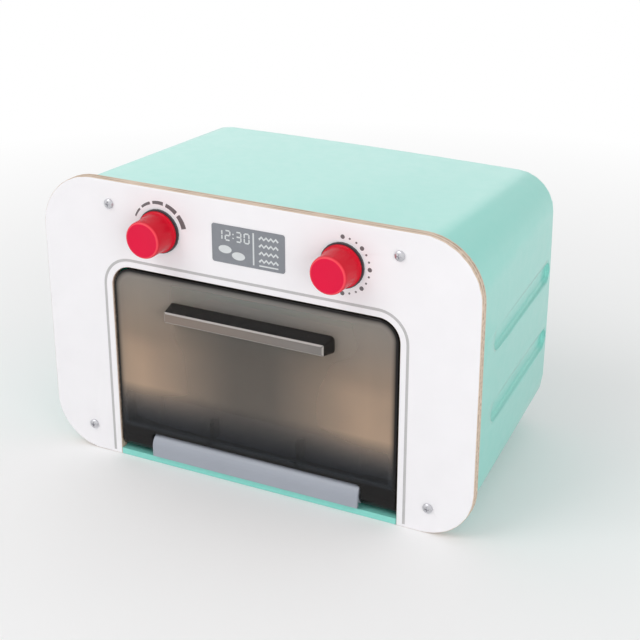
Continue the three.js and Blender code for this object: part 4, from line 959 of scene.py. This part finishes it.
# Studio and camera
def studio_floor():
    drawing = bmesh.new()
    corners = ((-1, -1), (1, -1), (1, 1), (-1, 1))
    drawing.faces.new([drawing.verts.new((x * FLOOR_HALF, y * FLOOR_HALF, 0)) for x, y in corners])
    floor = bpy.data.objects.new("studio_floor", finished_mesh("studio_floor", drawing))
    bpy.context.scene.collection.objects.link(floor)
    material, tree, shader = new_material("studio_floor")
    clouds = spread(tree, noise(tree, scale=3, detail=3), 0, 1)
    set_colour(tree, shader, mixed(tree, clouds, STUDIO_DARK, STUDIO_PALE))
    shader.inputs["Roughness"].default_value = FLOOR_ROUGHNESS
    white_far_away(tree, shader)
    floor.data.materials.append(material)


# 1 for rays that show the room itself, straight, in a reflection or through the pane
def seen_directly(tree):
    rays = tree.nodes.new("ShaderNodeLightPath")
    direct = math_node(tree, "MAXIMUM", rays.outputs["Is Camera Ray"], rays.outputs["Is Transmission Ray"])
    return math_node(tree, "MAXIMUM", direct, rays.outputs["Is Glossy Ray"])


# The floor keeps the object's shadow and fades to white away from it
def white_far_away(tree, shader):
    place = position_axes(tree)
    away = spread(tree, root_of_squares(tree, place["X"], place["Y"]), 0, 1, WHITE_FROM, WHITE_AT)
    white = tree.nodes.new("ShaderNodeEmission")
    blend = tree.nodes.new("ShaderNodeMixShader")
    tree.links.new(math_node(tree, "MULTIPLY", away, seen_directly(tree)), blend.inputs[0])
    tree.links.new(shader.outputs["BSDF"], blend.inputs[1])
    tree.links.new(white.outputs["Emission"], blend.inputs[2])
    output = next(node for node in tree.nodes if node.type == "OUTPUT_MATERIAL")
    tree.links.new(blend.outputs["Shader"], output.inputs["Surface"])


def background(tree, strength):
    node = tree.nodes.new("ShaderNodeBackground")
    node.inputs["Color"].default_value = (*WHITE, 1)
    node.inputs["Strength"].default_value = strength
    return node.outputs["Background"]


def white_world():
    world = bpy.data.worlds.new("white_world")
    bpy.context.scene.world = world
    world.use_nodes = True
    tree = world.node_tree
    tree.nodes.clear()
    output = tree.nodes.new("ShaderNodeOutputWorld")
    choose = tree.nodes.new("ShaderNodeMixShader")
    tree.links.new(seen_directly(tree), choose.inputs[0])
    tree.links.new(background(tree, ROOM_LIGHT), choose.inputs[1])
    tree.links.new(background(tree, SEEN_LIGHT), choose.inputs[2])
    tree.links.new(choose.outputs["Shader"], output.inputs["Surface"])


def turned_to(target, place):
    return (Vector(target) - Vector(place)).to_track_quat("-Z", "Y").to_euler()


# A square lamp that looks at the middle of the object
def area_light(name, place, size, power):
    data = bpy.data.lights.new(name, "AREA")
    data.shape = "SQUARE"
    data.size = size
    data.energy = power
    light = bpy.data.objects.new(name, data)
    bpy.context.scene.collection.objects.link(light)
    light.location = place
    light.rotation_euler = turned_to(LIGHT_AIM, place)
    return light


def photo_camera():
    data = bpy.data.cameras.new("photo_camera")
    data.sensor_width = CAMERA_SENSOR
    data.lens = CAMERA_LENS
    data.clip_start = CAMERA_NEAR
    camera = bpy.data.objects.new("photo_camera", data)
    bpy.context.scene.collection.objects.link(camera)
    low, high = (Vector(corner) for corner in cad_bounds)
    camera.location = CAMERA_PLACE
    camera.rotation_euler = turned_to((low + high) / 2 + Vector(CAMERA_AIM), CAMERA_PLACE)
    bpy.context.scene.camera = camera


# Putting it together
photo_camera()
white_world()
studio_floor()
area_light("key_light", KEY_PLACE, KEY_SIZE, KEY_POWER)
side_light = area_light("side_light", SIDE_PLACE, SIDE_SIZE, SIDE_POWER)
side_light.visible_glossy = False
area_light("back_light", BACK_PLACE, BACK_SIZE, BACK_POWER)

plain_mint = moulded("mint_plastic", MINT, roughness=0.35)
dark = moulded("dark_plastic", DARK_GREY, roughness=0.45)
rubber = moulded("foot_rubber", RUBBER_GREY, roughness=0.8, grain=1400, depth=RUBBER_DEPTH)
red = knob_plastic()
steel = metal("screw_steel", SCREW_STEEL, roughness=0.3)
label = printed("label", LABEL_GREY)
dashes = printed("dash_grey", DASH_GREY)

dressed("front_board", painted_board(), sharp_degrees=40)
dressed("housing", shell_mint(), sharp_degrees=28)
dressed("oven_floor", moulded("grey_plastic", FLOOR_GREY, roughness=0.42), sharp_degrees=30)
# The cavity ceiling takes the cavity's painted shade
dressed("cavity_ceiling", moulded("mint_painted_cavity_shade", MINT_PAINTED_CAVITY_SHADE, roughness=0.4), sharp_degrees=30)
dressed("door", smoked_pane(), sharp_degrees=30)
dressed("door_handle", smoked_handle(), sharp_degrees=30)
dressed("lamp_lens", frosted("lens_plastic", LENS_CREAM), sharp_degrees=35)
dressed("battery_cover", plain_mint, sharp_degrees=35)
for side in ("left", "right"):
    turned_knob(side + "_knob", red)
    dressed(side + "_knob_washer", dark, sharp_degrees=40)
    dressed(side + "_rear_foot", rubber, sharp_degrees=40)

mouth_line(printed("line_grey", LINE_GREY))
left_dial_marks(dashes)
right_dial_marks(dashes)
display_marks(printed("label_pale", LABEL_PALE))
for corner in ("top_left", "top_right", "leg_left", "leg_right"):
    cross_screw("board_screw_" + corner, TO_FRONT, BOARD_HEAD, steel)
for side in ("left", "right"):
    cross_screw(side + "_cover_screw", TO_BACK, COVER_HEAD, steel)
    cross_screw(side + "_floor_screw", TO_BELOW, SMALL_HEAD, steel)
    cross_screw(side + "_ceiling_screw", TO_BELOW, SMALL_HEAD, steel)

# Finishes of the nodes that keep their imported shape
contact_steel = metal("contact_steel", CONTACT_STEEL, roughness=0.32)
pin_steel = metal("pin_steel", PIN_STEEL, roughness=0.22)
cell = metal("battery_steel", CELL_BLUE, roughness=0.3)
shaft = moulded("shaft_plastic", SHAFT_CREAM, roughness=0.5)
black = moulded("black_plastic", SWITCH_BLACK, roughness=0.45)
leads = {
    "upper": moulded("red_lead", LEAD_RED, roughness=0.45),
    "lower": moulded("black_lead", LEAD_BLACK, roughness=0.45),
}
finishes = {
    "display_label": label,
    "lamp": frosted("lamp_plastic", LAMP_WHITE),
    "circuit_board": printed("circuit", CIRCUIT_GREEN),
    "speaker": metal("speaker_steel", SPEAKER_STEEL, roughness=0.35),
    "speaker_cone": moulded("cone_paper", CONE_BROWN, roughness=0.85, grain=900, depth=PAPER_DEPTH),
    "battery_box": plain_mint,
    "battery_bridge": contact_steel,
}
for side in ("left", "right"):
    finishes[side + "_knob_shaft"] = shaft
    finishes[side + "_rotary_switch"] = black
    finishes[side + "_hinge_pin"] = pin_steel
    finishes[side + "_circuit_screw"] = steel
for level, lead in leads.items():
    finishes["battery_" + level] = cell
    finishes["battery_spring_" + level] = contact_steel
    finishes["battery_terminal_" + level] = contact_steel
    finishes["battery_lead_" + level] = lead
    finishes["speaker_lead_" + level] = lead
for node, material in finishes.items():
    mesh = frame["nodes"][node].data
    mesh.materials.clear()
    mesh.materials.append(material)

bpy.context.scene.view_settings.view_transform = "Standard"
